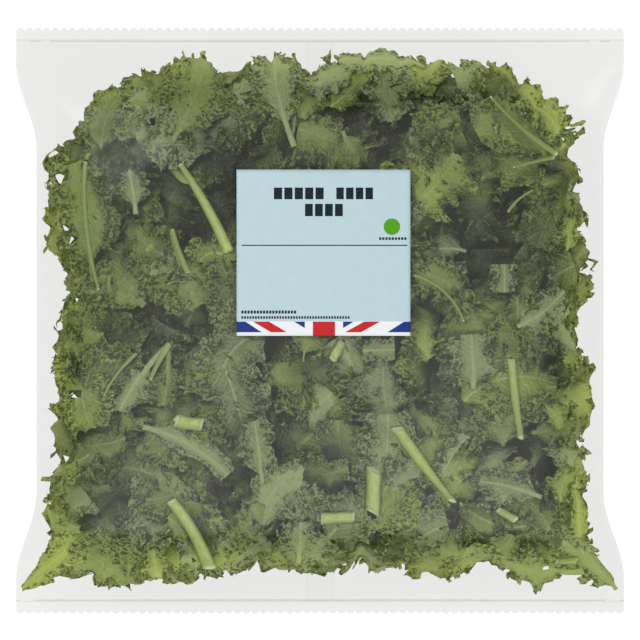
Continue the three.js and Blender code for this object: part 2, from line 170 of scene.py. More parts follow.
def bulge(x, y, inset):
    """The share of the dome's height at x."""
    return np.sqrt(np.maximum(0, 1 - np.minimum(1, np.abs(x) / (half_width(y) - inset)) ** 2.4))


def top_of(x, y, inset=0.0):
    return fold_height(y) + np.maximum(0, RISE * dome(y, inset) - inset) * bulge(x, y, inset)


def under_of(x, y, inset=0.0):
    hang = np.maximum(0, SAG * dome(y, inset) - inset) * bulge(x, y, inset)
    return np.maximum(inset, fold_height(y) - hang)


print("the front film is", round(float(top_of(0, 0)), 1), "mm high in the middle")

# %% Leaf pressed against the film
SKIN = 0.9  # leaf stays this far inside the film's outer face


def keep_inside(x, y, z):
    """Leaf that would come through the film is flattened against it, as in the real bag."""
    low = under_of(x, y, FILM) + SKIN - FILM
    high = np.maximum(low + 0.2, top_of(x, y, FILM) - SKIN + FILM)
    share = (z - low) / (high - low)
    soft = 0.05
    share = np.where(share > 1 - soft, 1 - soft + soft * np.tanh((share - 1 + soft) / soft), share)
    share = np.where(share < soft, soft + soft * np.tanh((share - soft) / soft), share)
    return low + share * (high - low)


# %% [markdown]
# ## Draws that repeat
#
# No two pieces of cut leaf are alike, but the bag has to come out the same on every run.
# Instead of a random generator, each piece asks a small formula for each of its properties.
# The same piece and property always give the same number, so nothing depends on the order.

# %% Repeatable draws
def draw(piece, trait):
    value = np.sin(np.asarray(piece) * 12.9898 + trait * 78.233) * 43758.5453
    return value - np.floor(value)


def draw_between(piece, trait, low, high):
    return low + (high - low) * draw(piece, trait)


print("three draws of piece 1:", [round(float(draw(1, trait)), 3) for trait in (3, 4, 5)])

# %% [markdown]
# ## Where a piece of leaf lies in plan
#
# A cut piece is a bent strip. One number, u, runs along its rib from the cut end, and a
# distance across says how far a point is from the rib. The heap has an outline, and pieces
# that would cross it are folded back inside, which is what the film does to them.

# %% The heap's outline
HEAP = Vector((126.0, 123.0))  # half its width and half its height in plan
SQUARENESS = (14.0, 4.5)  # below and above the middle
FOLD_FROM = 0.86  # how far out leaf starts to be folded in
FOLD_TO = 1.02  # and how far out it can reach


def outness(x, y):
    """How far out a place is: 1 on the heap's outline."""
    power = np.where(y < 0, *SQUARENESS)
    return (np.abs(x / HEAP.x) ** power + np.abs(y / HEAP.y) ** power) ** (1 / power)


def fold_in(x, y, limit=FOLD_TO):
    far = np.maximum(outness(x, y), 1e-9)
    room = limit - FOLD_FROM
    kept = np.where(far > FOLD_FROM, FOLD_FROM + room * np.tanh((far - FOLD_FROM) / room), far)
    return x * kept / far, y * kept / far


print("the heap covers", 2 * HEAP.x, "by", 2 * HEAP.y, "mm")


# %% The form of a large piece
def leaf_form(i):
    """Lengths in mm and angles in radians. Stalk is about the bare share of the rib."""
    return {
        "heading": 2 * math.pi * draw(i, 3),
        "length": draw_between(i, 4, 62, 86),
        "left": draw_between(i, 5, 25, 40),
        "right": draw_between(i, 6, 25, 40),
        "bend": draw_between(i, 7, -0.9, 0.9),
        "stalk": draw_between(i, 8, 0.04, 0.26),
        "rib": draw_between(i, 9, 2.2, 3.9),
        "tip": draw_between(i, 10, 0.35, 0.85),
        "lobes": draw_between(i, 11, 1.6, 2.6),
        "phase": 2 * math.pi * draw(i, 12),
    }


def blade_reach(form, side, u):
    widest = np.where(side > 0, form["right"], form["left"])
    spread = smoothstep(form["stalk"] * 0.7, form["stalk"] + 0.3, u)
    close = 1 - (1 - form["tip"]) * smoothstep(0.62, 1, u)
    lobe = 1 + 0.16 * np.sin(2 * math.pi * form["lobes"] * u + form["phase"] + side)
    return widest * spread * close * lobe


def rib_reach(form, u):
    return form["rib"] * (1 - 0.62 * u)


def columns_across(form, side, u, tooth):
    """Distances from the rib to the margin, the blade and the rib's edge on one side."""
    rib = rib_reach(form, u)
    reach = np.maximum(rib * 1.15, blade_reach(form, side, u) * tooth)
    is_blade = smoothstep(rib * 1.15, rib * 3.5, reach)
    return reach, reach * (0.72 - 0.1 * is_blade), rib * (0.4 + 0.5 * is_blade)


# %% From a strip to its place in plan
def strip_point(form, centre, u, across):
    """Where a point of the strip lies: the rib is an arc about its middle."""
    turn = form["heading"] + form["bend"] * (u - 0.5)
    along = (u - 0.5) * form["length"]
    half = form["bend"] * (u - 0.5) / 2
    chord = along * np.sinc(half / math.pi)
    aim = form["heading"] + half
    x = centre[0] + chord * np.cos(aim) - across * np.sin(turn)
    y = centre[1] + chord * np.sin(aim) + across * np.cos(turn)
    return x, y


EVEN_STEP = (0.7548776662466927, 0.5698402909980532)  # steps that never bunch, in shares


def even_place(i, shift_x, shift_y):
    """The place number i of an even strewing over a square from -1 to 1."""
    return (
        2 * math.modf(shift_x + i * EVEN_STEP[0])[0] - 1,
        2 * math.modf(shift_y + i * EVEN_STEP[1])[0] - 1,
    )


def strewn_centre(i, form):
    """An evenly strewn centre. A piece that crosses the outline slides straight in from it."""
    across, up = even_place(i, 0.5, 0.5)
    centre = [HEAP.x * across, HEAP.y * up]
    u = np.repeat([0, 0.5, 1], 2)
    across = np.tile([-form["left"] * 0.8, form["right"] * 0.8], 3)
    for _ in range(60):
        x, y = strip_point(form, centre, u, across)
        far = outness(x, y)
        k = int(np.argmax(far))
        if far[k] <= 1:
            break
        axis = 0 if abs(x[k] / HEAP.x) > abs(y[k] / HEAP.y) else 1
        centre[axis] -= 2 * math.copysign(1, (x[k], y[k])[axis])
    return centre


print("the first piece's middle is at", [round(v, 1) for v in strewn_centre(0, leaf_form(0))])


# %% [markdown]
# ## An edge that is not straight
#
# Nothing holds the heap's edge straight: it has lumps, and notches where no piece happens to
# lie. The notches of this bag were read from the picture, and so were a few gaps near the
# edge through which the ground shows. Both move points in plan only, and little. A gap also
# loses the faces that would span it.

# %% Notches and gaps of this heap
PIXEL = 0.4624  # mm in the picture


def spot(px, py):
    """A place in mm from a place in the picture."""
    return (px - 319.5) * PIXEL, (320.25 - py) * PIXEL


NOTCHES = (  # the even edge, the real one, and half the width along it, in the picture
    ((365, 585), (365, 574), 150), ((258, 574), (258, 563), 15), ((361, 574), (361, 558), 8),
    ((484, 574), (484, 563), 18), ((49, 284), (62, 284), 20), ((45, 448), (56, 450), 18),
    ((58, 168), (44, 169), 34), ((596, 322), (581, 324), 26), ((580, 152), (567, 154), 9),
    ((594, 438), (584, 440), 12), ((155, 57), (156, 70), 14), ((224, 58), (224, 70), 12),
    ((312, 54), (312, 65), 8), ((426, 56), (426, 62), 10), ((520, 66), (518, 76), 8),
    ((588, 572), (602, 579), 20), ((56, 574), (44, 580), 12),
)
GAPS = (  # middle and radius in the picture
    ((55, 155), 4.5), ((60, 178), 6), ((51, 183), 3), ((65, 227), 4), ((62, 243), 4), ((72, 240), 5),
    ((153, 122), 5), ((175, 95), 3.5), ((467, 408), 3.5), ((554, 358), 3.5), ((105, 298), 2.5),
    ((192, 559), 2.5), ((76, 300), 3), ((74, 395), 4.5), ((66, 457), 4.5), ((61, 326), 4),
    ((71, 347), 3), ((88, 574), 3.5), ((545, 568), 3.5), ((563, 138), 3),
)
print(len(NOTCHES), "notches and", len(GAPS), "gaps")


# %% Lumps, notches and room for the gaps
def settle(place):
    """Places in mm after the edge has got its lumps and notches and leaf has made way for gaps."""
    x, y = place[:, 0].copy(), place[:, 1].copy()
    turn = np.arctan2(y / HEAP.y, x / HEAP.x) * 126
    lump = np.sin(turn / 3.1 + 1.3 * np.sin(turn / 7))
    lump += np.sin(turn / 1.6 + 2 * np.sin(turn / 5 + 1))
    shrink = 1 - 0.02 * np.clip(lump - 0.7, 0, None) * smoothstep(0.86, 1.0, outness(x, y))
    x, y = x * shrink, y * shrink
    for edge, real, width in NOTCHES:
        (x0, y0), (x1, y1) = spot(*edge), spot(*real)
        deep = math.hypot(x1 - x0, y1 - y0)
        along = ((x - x0) * (x1 - x0) + (y - y0) * (y1 - y0)) / deep
        beside = ((x - x0) * (y1 - y0) - (y - y0) * (x1 - x0)) / deep / (width * PIXEL)
        inside = along if math.hypot(x1, y1) < math.hypot(x0, y0) else -along
        share = np.exp(-(beside**2)) * (1 - smoothstep(0, deep + 18, inside))
        x, y = x + share * (x1 - x0), y + share * (y1 - y0)
    for middle, radius in GAPS:
        x0, y0 = spot(*middle)
        away = np.maximum(np.hypot(x - x0, y - y0), 1e-6)
        round_it = np.arctan2(y - y0, x - x0)
        size = 1 + 0.3 * np.sin(3 * round_it + x0) + 0.2 * np.sin(5 * round_it + y0)
        size *= radius * PIXEL
        grow = np.where(away < 2 * size, (size + away / 2) / away, 1)
        x, y = x0 + (x - x0) * grow, y0 + (y - y0) * grow
    return np.column_stack([x, y, keep_inside(x, y, place[:, 2])])


# %% Open the gaps
def cut_gaps(mesh):
    """Deletes the faces that span a gap: their corners stand round it and their middles in it."""
    middles = np.empty(len(mesh.polygons) * 3)
    mesh.polygons.foreach_get("center", middles)
    x, y = middles.reshape(-1, 3)[:, :2].T / MM
    spans = np.zeros(len(x), bool)
    for (px, py), radius in GAPS:
        x0, y0 = spot(px, py)
        spans |= np.hypot(x - x0, y - y0) < 0.8 * radius * PIXEL
    if spans.any():
        bm = bmesh.new()
        bm.from_mesh(mesh)
        bm.faces.ensure_lookup_table()
        bmesh.ops.delete(bm, geom=[bm.faces[i] for i in np.nonzero(spans)[0]], context="FACES")
        bm.to_mesh(mesh)
        bm.free()


# %% [markdown]
# ## The strip that every piece of leaf is bent from
#
# A piece of kale is a flat blade along a rib, so it starts as a flat grid. The margin of
# curly kale grows faster than the rest and buckles into frills, which need small faces.
# Subdividing only the outer edges puts the faces there and keeps the middle light.

# %% A flat strip with a fine margin
RIB_SHARE = 0.22  # the part of the half strip, from its middle, that belongs to the rib


def flat_strip(name, rows, columns, fine):
    """A strip in the square from -1 to 1: its rib lies along x and its tip is at x = 1."""
    bm = bmesh.new()
    bmesh.ops.create_grid(bm, x_segments=rows, y_segments=columns, size=1)
    for limit in fine:
        margin = [
            e
            for e in bm.edges
            if min(max(abs(v.co.y), v.co.x * 1.04 - 0.1) for v in e.verts) >= limit - 1e-5
        ]
        bmesh.ops.subdivide_edges(bm, edges=margin, cuts=1, use_grid_fill=True)
    return finished_mesh(bm, name)


leaf_strip = flat_strip("leaf_strip", 22, 10, (0.5, 0.86))
piece_strip = flat_strip("piece_strip", 24, 10, (0.5, 0.8))
scrap_strip = flat_strip("scrap_strip", 18, 8, (0.38, 0.74))
rim_strip = flat_strip("rim_strip", 14, 8, (0.38, 0.74))
back_strip = flat_strip("back_strip", 16, 8, (0.5,))
for strip in (leaf_strip, piece_strip, scrap_strip, rim_strip, back_strip):
    print(strip.name, "has", len(strip.polygons), "faces")

# %% [markdown]
# ## Bending a strip
#
# A point of the strip is told by u along the rib and s across it. First it gets its place
# in plan, then a height, which comes from what the piece lies on. The frills are added last,
# square to the surface, so that they follow every bend that the piece already has.

# %% Plan and height of a strip's points
def strip_base(u, s, form, centre, height):
    side = np.where(s >= 0, 1.0, -1.0)
    rib = rib_reach(form, u)
    tooth = 1 - 0.07 * np.cos(10 * math.pi * u)
    reach = np.maximum(rib * 1.15, blade_reach(form, side, u) * tooth)
    inner = np.minimum(np.abs(s) / RIB_SHARE, 1)
    outer = np.clip((np.abs(s) - RIB_SHARE) / (1 - RIB_SHARE), 0, 1)
    across = side * (rib * inner + (reach - rib) * outer)
    x, y = fold_in(*strip_point(form, centre, u, across), limit=form.get("limit", FOLD_TO))
    z = height(u, across, x, y)
    return np.stack([x, y, z], -1), across, reach, rib, outer


def unit(v):
    return v / np.maximum(np.linalg.norm(v, axis=-1, keepdims=True), 1e-9)


# %% [markdown]
# ## Frills
#
# A frill is a wave that runs along the margin. Up and down alone gives a plain ruffle, like
# a lampshade. Kale's frills also swing along the margin, a quarter of a wave behind, so the
# sheet folds over itself. Three sizes of wave sit on one another, and the smaller ones only
# start nearer to the margin. Fine teeth run along the very edge.

# %% Sizes of frill
LARGE_FRILLS = (  # wavelength, height, swing, and where each starts between rib and margin
    (17.0, 2.8, 1.8, 0.12),
    (6.5, 2.1, 2.1, 0.35),
    (3.0, 0.9, 0.9, 0.65),
)
SMALL_FRILLS = (
    (11.0, 2.6, 2.0, 0.0),
    (4.6, 1.9, 2.0, 0.2),
    (2.1, 0.8, 0.9, 0.5),
)
print("large frills are", [wave for wave, *_ in LARGE_FRILLS], "mm long")


# %% Frills that fold over
def frill(u, across, reach, rib, outer, form, seed):
    """How far each point moves square to the sheet, along the margin and outwards in it."""
    blade = np.clip((reach - rib) / 7, 0, 1)
    tip = form.get("frilled_tip", 1.0) * smoothstep(0.8, 1, u)
    margin = np.maximum(outer, tip * 0.9 * np.clip(outer * 3, 0, 1))
    run = u * form["length"] * 1.1 + tip * (reach - np.abs(across))
    run = run + np.where(across >= 0, 0.0, 37.0) + 11.0 * seed
    up = np.zeros_like(u)
    swing = np.zeros_like(u)
    for k, (wave, height, sway, start) in enumerate(form.get("frills", LARGE_FRILLS)):
        grow = np.clip((margin - start) / (1 - start), 0, 1) ** 1.3 * blade
        wobble = 1.3 * np.sin(run / wave * 2.9 + seed * (k + 2.3))
        wobble += 0.8 * np.sin(run / wave * 1.3 + seed)
        uneven = 0.75 + 0.35 * np.sin(run / wave * 1.7 + seed * 1.9 + k)
        phase = 2 * math.pi * run / wave + wobble + 1.5 * k * outer
        strength = form.get("frill", 1.0) * grow * uneven
        up += strength * height * np.sin(phase)
        swing += strength * sway * np.cos(phase)
    teeth = np.sin(2 * math.pi * run / 2.6 + 2 * np.sin(run / 1.9))
    teeth += 0.8 * np.sin(2 * math.pi * run / 1.5)
    teeth *= 0.6 * min(1.0, form.get("frill", 1.0)) * smoothstep(0.7, 1, margin) * blade
    return up, swing, teeth


# %% Lay a strip
def lay(u, s, form, centre, height, seed):
    """Places of a strip's points in mm, how far across each is, the rib's half width there, and
    how near each is to the margin."""
    step = 0.004  # how far off the neighbours are that tell which way the sheet faces
    base, across, reach, rib, outer = strip_base(u, s, form, centre, height)
    further = strip_base(u + step, s, form, centre, height)[0]
    wider = strip_base(u, np.where(s < 0.99, s + step, s - step), form, centre, height)[0]
    along = unit(further - base)
    square = unit(np.cross(along, np.where((s < 0.99)[:, None], wider - base, base - wider)))
    outward = np.cross(square, along) * np.sign(s)[:, None]
    up, swing, teeth = frill(u, across, reach, rib, outer, form, seed)
    crease = form.get("rib_sink", 0.8) * np.exp(-((across / (rib + 0.5)) ** 2))
    place = base + square * (up - crease)[:, None] + along * swing[:, None]
    place += outward * (teeth - 0.3 * np.abs(up))[:, None]
    place[:, 2] = keep_inside(place[:, 0], place[:, 1], place[:, 2])
    return place, across, rib, outer


# %% [markdown]
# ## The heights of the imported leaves
#
# Each packed leaf is a coarse sheet over a grid of eleven by seven points. The plan above
# gives those points again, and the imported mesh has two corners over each, one on each face.
# Halfway between them is the middle of the sheet. Smooth curves through these heights carry
# the fine leaf, so it lies exactly where its packed leaf lies.

# %% Read a packed sheet at its own points
def faces_at(name, x, y):
    """The upper and lower height of a packed sheet at its own grid points, in mm."""
    co = points_of(nodes[name].data) / MM
    far = np.hypot(co[None, :, 0] - x.reshape(-1, 1), co[None, :, 1] - y.reshape(-1, 1))
    near = far < np.maximum(far.min(1, keepdims=True) + 0.01, 0.03)
    high = np.where(near, co[:, 2], -1e9).max(1)
    low = np.where(near, co[:, 2], 1e9).min(1)
    return high.reshape(x.shape), low.reshape(x.shape), far.min(1).max()


# %% Run smooth curves through its heights
STATIONS = 11  # rows of points along a packed leaf


def along_stations(table, u):
    """A smooth curve through the rows of a table, one row for each station."""
    place = np.clip(u, 0, 1) * (len(table) - 1)
    k = np.minimum(place.astype(int), len(table) - 2)
    t = (place - k)[:, None]
    before = table[np.maximum(k - 1, 0)]
    after = table[np.minimum(k + 2, len(table) - 1)]
    a, b = table[k], table[k + 1]
    return 0.5 * (
        2 * a + (b - before) * t + (2 * before - 5 * a + 4 * b - after) * t**2
        + (3 * a - before - 3 * b + after) * t**3
    )


def packed_height(i, form, centre):
    """A height over any u and distance across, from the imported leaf's own sheet."""
    stations = np.linspace(0, 1, STATIONS)
    tooth = np.where(np.arange(STATIONS) % 2, 1.07, 0.93)
    left = -np.stack(columns_across(form, -1, stations, tooth), -1)
    right = np.stack(columns_across(form, 1, stations, tooth), -1)[:, ::-1]
    columns = np.concatenate([left, np.zeros((STATIONS, 1)), right], 1)
    x, y = fold_in(*strip_point(form, centre, stations[:, None], columns))
    high, low, miss = faces_at(f"leaf_piece_{i + 1:02d}", x, y)
    middle = (high + low) / 2

    def height(u, across, *_):
        places = along_stations(columns, u)
        heights = along_stations(middle, u)
        at = np.clip(across, places[:, 0], places[:, -1])
        k = np.clip((at[:, None] >= places).sum(1) - 1, 0, 5)
        row = np.arange(len(u))
        x0, x1 = places[row, k], places[row, k + 1]
        z0, z1 = heights[row, k], heights[row, k + 1]
        slopes = np.gradient(heights, axis=1) / np.maximum(np.gradient(places, axis=1), 0.3)
        wide = np.maximum(x1 - x0, 1e-6)
        t = np.clip((at - x0) / wide, 0, 1)
        m0, m1 = slopes[row, k] * wide, slopes[row, k + 1] * wide
        cubic = (2 * t**3 - 3 * t**2 + 1) * z0 + (t**3 - 2 * t**2 + t) * m0
        cubic += (3 * t**2 - 2 * t**3) * z1 + (t**3 - t**2) * m1
        return cubic

    return height, miss


# %% [markdown]
# ## Finishes are built from nodes
#
# Every finish here is worked out by shader nodes rather than pictures. A few short helpers
# make the nodes and join them, so that each finish below reads like a recipe.

# %% Helpers for shader nodes
def new_group(name, inputs, outputs):
    tree = bpy.data.node_groups.new(name, "ShaderNodeTree")
    for title, kind, value in inputs:
        socket = tree.interface.new_socket(title, in_out="INPUT", socket_type=kind)
        socket.default_value = value
    for title, kind in outputs:
        tree.interface.new_socket(title, in_out="OUTPUT", socket_type=kind)
    return tree, tree.nodes.new("NodeGroupInput"), tree.nodes.new("NodeGroupOutput")


def connect(tree, socket, value):
    if isinstance(value, bpy.types.NodeSocket):
        tree.links.new(value, socket)
    elif value is not None:
        socket.default_value = value


def math_node(tree, operation, *values, clamp=False):
    node = tree.nodes.new("ShaderNodeMath")
    node.operation = operation
    node.use_clamp = clamp
    for socket, value in zip(node.inputs, values):
        connect(tree, socket, value)
    return node.outputs[0]


def mix_node(tree, factor, a, b, blend="MIX"):
    node = tree.nodes.new("ShaderNodeMix")
    node.data_type = "RGBA"
    node.blend_type = blend
    connect(tree, node.inputs[0], factor)
    connect(tree, node.inputs[6], a)
    connect(tree, node.inputs[7], b)
    return node.outputs[2]


def span_node(tree, value, low, high, to_low=0.0, to_high=1.0):
    node = tree.nodes.new("ShaderNodeMapRange")
    node.interpolation_type = "SMOOTHSTEP"
    connect(tree, node.inputs["Value"], value)
    node.inputs["From Min"].default_value = low
    node.inputs["From Max"].default_value = high
    node.inputs["To Min"].default_value = to_low
    node.inputs["To Max"].default_value = to_high
    return node.outputs["Result"]


def noise_node(tree, vector, scale, detail=3.0):
    node = tree.nodes.new("ShaderNodeTexNoise")
    connect(tree, node.inputs["Vector"], vector)
    node.inputs["Scale"].default_value = scale
    node.inputs["Detail"].default_value = detail
    return node.outputs["Fac"]


def attribute_node(tree, name):
    node = tree.nodes.new("ShaderNodeAttribute")
    node.attribute_name = name
    return node.outputs["Fac"]


def colour(*rgb):
    return (*rgb, 1.0)


# %% [markdown]
# ## Cut stems
#
# Bare lengths of stem, cut slantwise by the knife, lie in the pile and against the front
# film. Six of them stand for packed stems and lie where those do. The others lie where the
# picture shows one. A stem is a cylinder that is a little flattened and bent. It starts as a
# cone of equal ends, cut into rings, with its caps inset so that the rind shows as a rim
# round the pale pith. A thin rib is greener than a thick stem.

# %% Stem finish
stem_skin = bpy.data.materials.new("kale_stem")
stem_skin.use_nodes = True
tree = stem_skin.node_tree
shader = tree.nodes["Principled BSDF"]
run = tree.nodes.new("ShaderNodeUVMap")
run.uv_map = "rind"
stretch = tree.nodes.new("ShaderNodeMapping")
stretch.inputs["Scale"].default_value = (1.2, 16, 1)
tree.links.new(run.outputs[0], stretch.inputs["Vector"])
fibre = noise_node(tree, stretch.outputs[0], 2.2, 4.0)
blotch = noise_node(tree, run.outputs[0], 1.6)
streak = span_node(tree, fibre, 0.35, 0.65)
rind = mix_node(tree, streak, colour(0.33, 0.42, 0.085), colour(0.5, 0.58, 0.2))
rind = mix_node(tree, span_node(tree, blotch, 0.5, 0.7, 0.0, 0.5), rind, colour(0.25, 0.4, 0.08))
# The stem's sides are painted darker and greener, as painted shade that makes it look round
rind = mix_node(tree, attribute_node(tree, "painted_side_shade"), rind, colour(0.17, 0.26, 0.04))
rind = mix_node(tree, attribute_node(tree, "thin"), rind, colour(0.17, 0.25, 0.06))
rind = mix_node(tree, attribute_node(tree, "cut"), rind, colour(0.7, 0.74, 0.5))
tree.links.new(rind, shader.inputs["Base Color"])
shader.inputs["Roughness"].default_value = 0.42
bump = tree.nodes.new("ShaderNodeBump")
bump.inputs["Strength"].default_value = 0.36
bump.inputs["Distance"].default_value = 0.0006
tree.links.new(fibre, bump.inputs["Height"])
tree.links.new(bump.outputs["Normal"], shader.inputs["Normal"])

# %% Where the stems lie
STEMS = (  # middle in mm, heading in degrees, length, radius, bend, slant of the cuts, taper
    ((46.5, -66), -54, 40, 3.9, 0.1, 0.5, 0.4),
    ((24, -78), -94, 22, 3.8, 0, 0.4, 0.1),
    ((4.5, -90), 2, 17, 3.0, 0, 0.2, 0.1),
    ((-58, -95), -66, 34, 3.6, -0.5, 0.3, 0.1),
    ((-53, 52), -57, 46, 3.4, -0.2, 0.5, 0.35),
    ((90, -36), -83, 36, 3.0, 0.1, 0.3, 0.1),
)
FRONT_STEMS = (  # the ones against the front film, as the picture shows them
    ((47.9, -66.5), -53, 42, 3.3, 0.1, 0.4, 0.5),
    ((24.7, -78.5), -92, 20, 3.7, 0, 0.4, 0.1),
    ((8.2, -90.6), 3, 15, 2.8, 0, 0.1, 0.1),
    ((-58.0, -98.0), -61, 36, 2.7, -0.4, 0.2, -0.25),
    ((-52.0, 52.4), -61, 46, 1.5, -0.2, 0.2, -1.0),
    ((90.0, -36.0), -83, 36, 2.3, 0.1, 0.2, 0.3),
    ((8.0, -13.6), 60, 9, 2.4, 0, 0.2, 0.1),
    ((-60.3, -47.1), -8, 12, 3.5, 0.2, 0.2, 0.1),
    ((116.0, -112.5), 172, 12, 2.2, 0.3, 0.2, 0.2),
    ((86.2, -89.6), 150, 9, 2.0, 0, 0.2, 0.1),
    ((-107.7, 43.6), -84, 59, 1.3, 0.35, 0.1, 0.3),
    ((-74.2, -18.8), -118, 18, 1.7, 0.2, 0.2, 0.5),
    ((-64.8, 31.8), -70, 21, 1.1, 0.2, 0.1, -0.4),
    ((93.0, 88.9), 139, 40, 1.7, -0.3, 0.2, 0.6),
    ((98.5, 73.2), 194, 19, 1.0, 0.1, 0.1, 0.5),
    ((57.0, 13.5), -42, 33, 0.9, -1.0, 0.1, 0.3),
    ((91.6, 56.0), 41, 15, 0.8, -0.6, 0.1, 0.4),
    ((-93.0, -24.0), -128, 24, 0.9, 0.4, 0.1, 0.4),
)
print(len(STEMS), "stems in the pile and", len(FRONT_STEMS), "against the front film")

# %% A cylinder with rims on its cut ends
STEM_SIDES = 28


def stem_mesh(name):
    """A cylinder from -1 to 1 with rings along it and an inset rim on both cut ends."""
    bm = bmesh.new()
    bmesh.ops.create_cone(bm, cap_ends=True, segments=STEM_SIDES, radius1=1, radius2=1, depth=2)
    long_edges = [e for e in bm.edges if abs(e.verts[0].co.z - e.verts[1].co.z) > 1]
    bmesh.ops.subdivide_edges(bm, edges=long_edges, cuts=23, use_grid_fill=True)
    caps = [f for f in bm.faces if len(f.verts) == STEM_SIDES]
    cut = bm.verts.layers.float.new("cut")
    for cap in caps:
        bmesh.ops.inset_individual(bm, faces=[cap], thickness=0.16)
        bmesh.ops.inset_individual(bm, faces=[cap], thickness=0.3, depth=0.004)
        for v in cap.verts:
            v[cut] = 1.0
        inner = bmesh.ops.poke(bm, faces=[cap])
        for v in inner["verts"]:
            v[cut] = 0.7
    bmesh.ops.recalc_face_normals(bm, faces=bm.faces)
    return finished_mesh(bm, name)


# %% Bend a cylinder into a stem
LEAN = 0.45  # how far each cut leans back, so that it shows from above
FLATTENED = 0.74  # a stem's height against its width
STEM_ROOM = 1.2  # between a front stem and the even film, whose dents need some of it
stem_lines = []  # x, y, height and radius along the stems that nothing may cover


def make_stem(name, node, at, heading, length, radius, bend, slant, taper):
    """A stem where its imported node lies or, without a node, close under the front film."""
    form = {"heading": math.radians(heading), "length": length, "bend": bend}
    mesh = stem_mesh(name)
    side, high, along = points_of(mesh).T
    u = (along + 1) / 2
    stations = np.linspace(0, 1, 5)
    x, y = fold_in(*strip_point(form, at, stations, 0 * stations))
    if node:
        top, low, _ = faces_at(node, x, y)
        line = np.polyfit(stations, (top + low) / 2, 1)
    else:
        room = top_of(x, y) - STEM_ROOM - 0.75 * radius
        line = np.polyfit(stations, room, 1)
        line[1] -= (np.polyval(line, stations) - room).max()
        for t in np.linspace(0, 1, 17):
            x, y = fold_in(*strip_point(form, at, np.array([t]), np.zeros(1)))
            stem_lines.append((x[0], y[0], np.polyval(line, t), radius * (1 - taper * t)))
    swell = 1 - taper * u + 0.05 * np.sin(u * 9 + radius * 7) - 0.1 * (2 * np.abs(u - 0.5)) ** 8
    groove = 1 - 0.05 * np.cos(3 * np.arctan2(high, side))
    slanted = side * slant - high * LEAN * np.sign(u - 0.5)
    slanted *= radius * (2 * np.abs(u - 0.5)) ** 3 / length
    x, y = fold_in(*strip_point(form, at, u + slanted, side * radius * 0.97 * groove * swell))
    move_points(mesh, x, y, np.polyval(line, u) + high * FLATTENED * radius * groove * swell)
    # how far round to the side each point is, where the stem is painted darker as shade
    write_values(mesh, "painted_side_shade", np.where(np.abs(along) < 0.999, np.abs(side) ** 2.5, 0))
    write_values(mesh, "thin", 0.8 * smoothstep(2.6, 1.1, radius * (1 - taper * u)))
    write_map(mesh, "rind", u * length, np.abs(np.arctan2(high, side)) * radius)
    smooth_faces(mesh)
    mesh.materials.append(stem_skin)
    stem = in_scene(name, mesh)
    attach(stem, "root")
    return stem


# %% Make the stems
for n, values in enumerate(STEMS):
    node = f"stem_end_{n + 1:02d}"
    stem = make_stem(f"cut_stem_{n + 1:02d}", node, *values)
    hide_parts(node)
for n, values in enumerate(FRONT_STEMS):
    make_stem(f"front_stem_{n + 1:02d}", None, *values)
print("a stem has", len(stem.data.polygons), "faces")


# %% Tuck leaf under the stems
def below_stems(place):
    """Leaf that would cover a stem is tucked under it."""
    z = place[:, 2].copy()
    for x, y, high, radius in stem_lines:
        beside = np.hypot(place[:, 0] - x, place[:, 1] - y) - radius
        roof = high - 0.3 + np.maximum(beside - 0.6, 0) * 0.9
        z = np.minimum(z, roof + 40 * (beside > 5))  # leaf further off than 5 mm stays
    return np.column_stack([place[:, :2], z])


# %% [markdown]
# ## From places to a mesh
#
# The strip's faces stay as they are and only its points move, so one helper turns places
# into a finished piece. It also writes what the material needs to know: a UV map in
# centimetres along and across the rib, and attributes for the margin, the rib and the tone,
# for how much light reaches the leaf from the ground beside the heap, and for how deep it
# lies, by which deep leaf is painted darker as painted shade. Solidify then gives the blade
# its thickness, and the rib its full one. Small scraps stay single sheets.

# %% A helper that finishes pieces of leaf
BLADE_THICK = 0.4
RIB_THICK = 2.6


def strip_points(strip):
    """u and s of a flat strip's points."""
    co = points_of(strip)
    return (co[:, 0] + 1) / 2, co[:, 1]


def leaf_object(name, strip, laid, tones, skins, rib_thick):
    """One piece from one or more laid strips: laid holds what lay() gave for each. With no
    thickness for the rib it stays a single sheet."""
    bm = bmesh.new()
    for _ in laid:
        bm.from_mesh(strip)
    mesh = finished_mesh(bm, name)
    place, across, rib, outer = (np.concatenate(part) for part in zip(*laid))
    out = outness(place[:, 0], place[:, 1])
    at_foot = smoothstep(60, 115, -place[:, 1])  # more light comes in along the heap's foot
    place = below_stems(settle(place))
    move_points(mesh, *place.T)
    size = len(laid[0][1])
    u = np.tile(strip_points(strip)[0], len(laid))
    write_map(mesh, "blade", u * np.repeat([t["length"] for t in tones], size), across)
    over = top_of(place[:, 0], place[:, 1]) - place[:, 2]
    beneath = place[:, 2] - under_of(place[:, 0], place[:, 1])
    for title, values in (
        ("margin", outer),
        ("rib", np.clip(1.25 - np.abs(across) / np.maximum(rib, 0.2) * 0.75, 0, 1)),
        ("tone", np.repeat([t["tone"] for t in tones], size)),
        ("lit", smoothstep(0.86 - 0.08 * at_foot, 1.0 - 0.03 * at_foot, out)),
        # how deep the leaf lies, which the material paints darker as painted shade
        ("depth", np.clip(np.minimum(over, beneath) / 10, 0, 1)),
    ):
        write_values(mesh, title, values)
    smooth_faces(mesh)
    obj = in_scene(name, mesh)
    for skin in skins:
        mesh.materials.append(skin)
    if rib_thick:
        group = obj.vertex_groups.new(name="thickness")
        ridge = np.sqrt(np.clip(1 - (across / np.maximum(rib, 0.2)) ** 2, 0, 1))
        ridge *= np.clip(rib / 3, 0.2, 1)
        share = (BLADE_THICK + (rib_thick - BLADE_THICK) * ridge) / rib_thick
        share = np.clip(np.round(share, 2), 0, 1)
        for value in np.unique(share):
            group.add(np.nonzero(share == value)[0].tolist(), float(value), "REPLACE")
        solid = thicken(obj, rib_thick, 0)
        solid.vertex_group = "thickness"
        solid.material_offset = 1
    cut_gaps(mesh)
    return obj


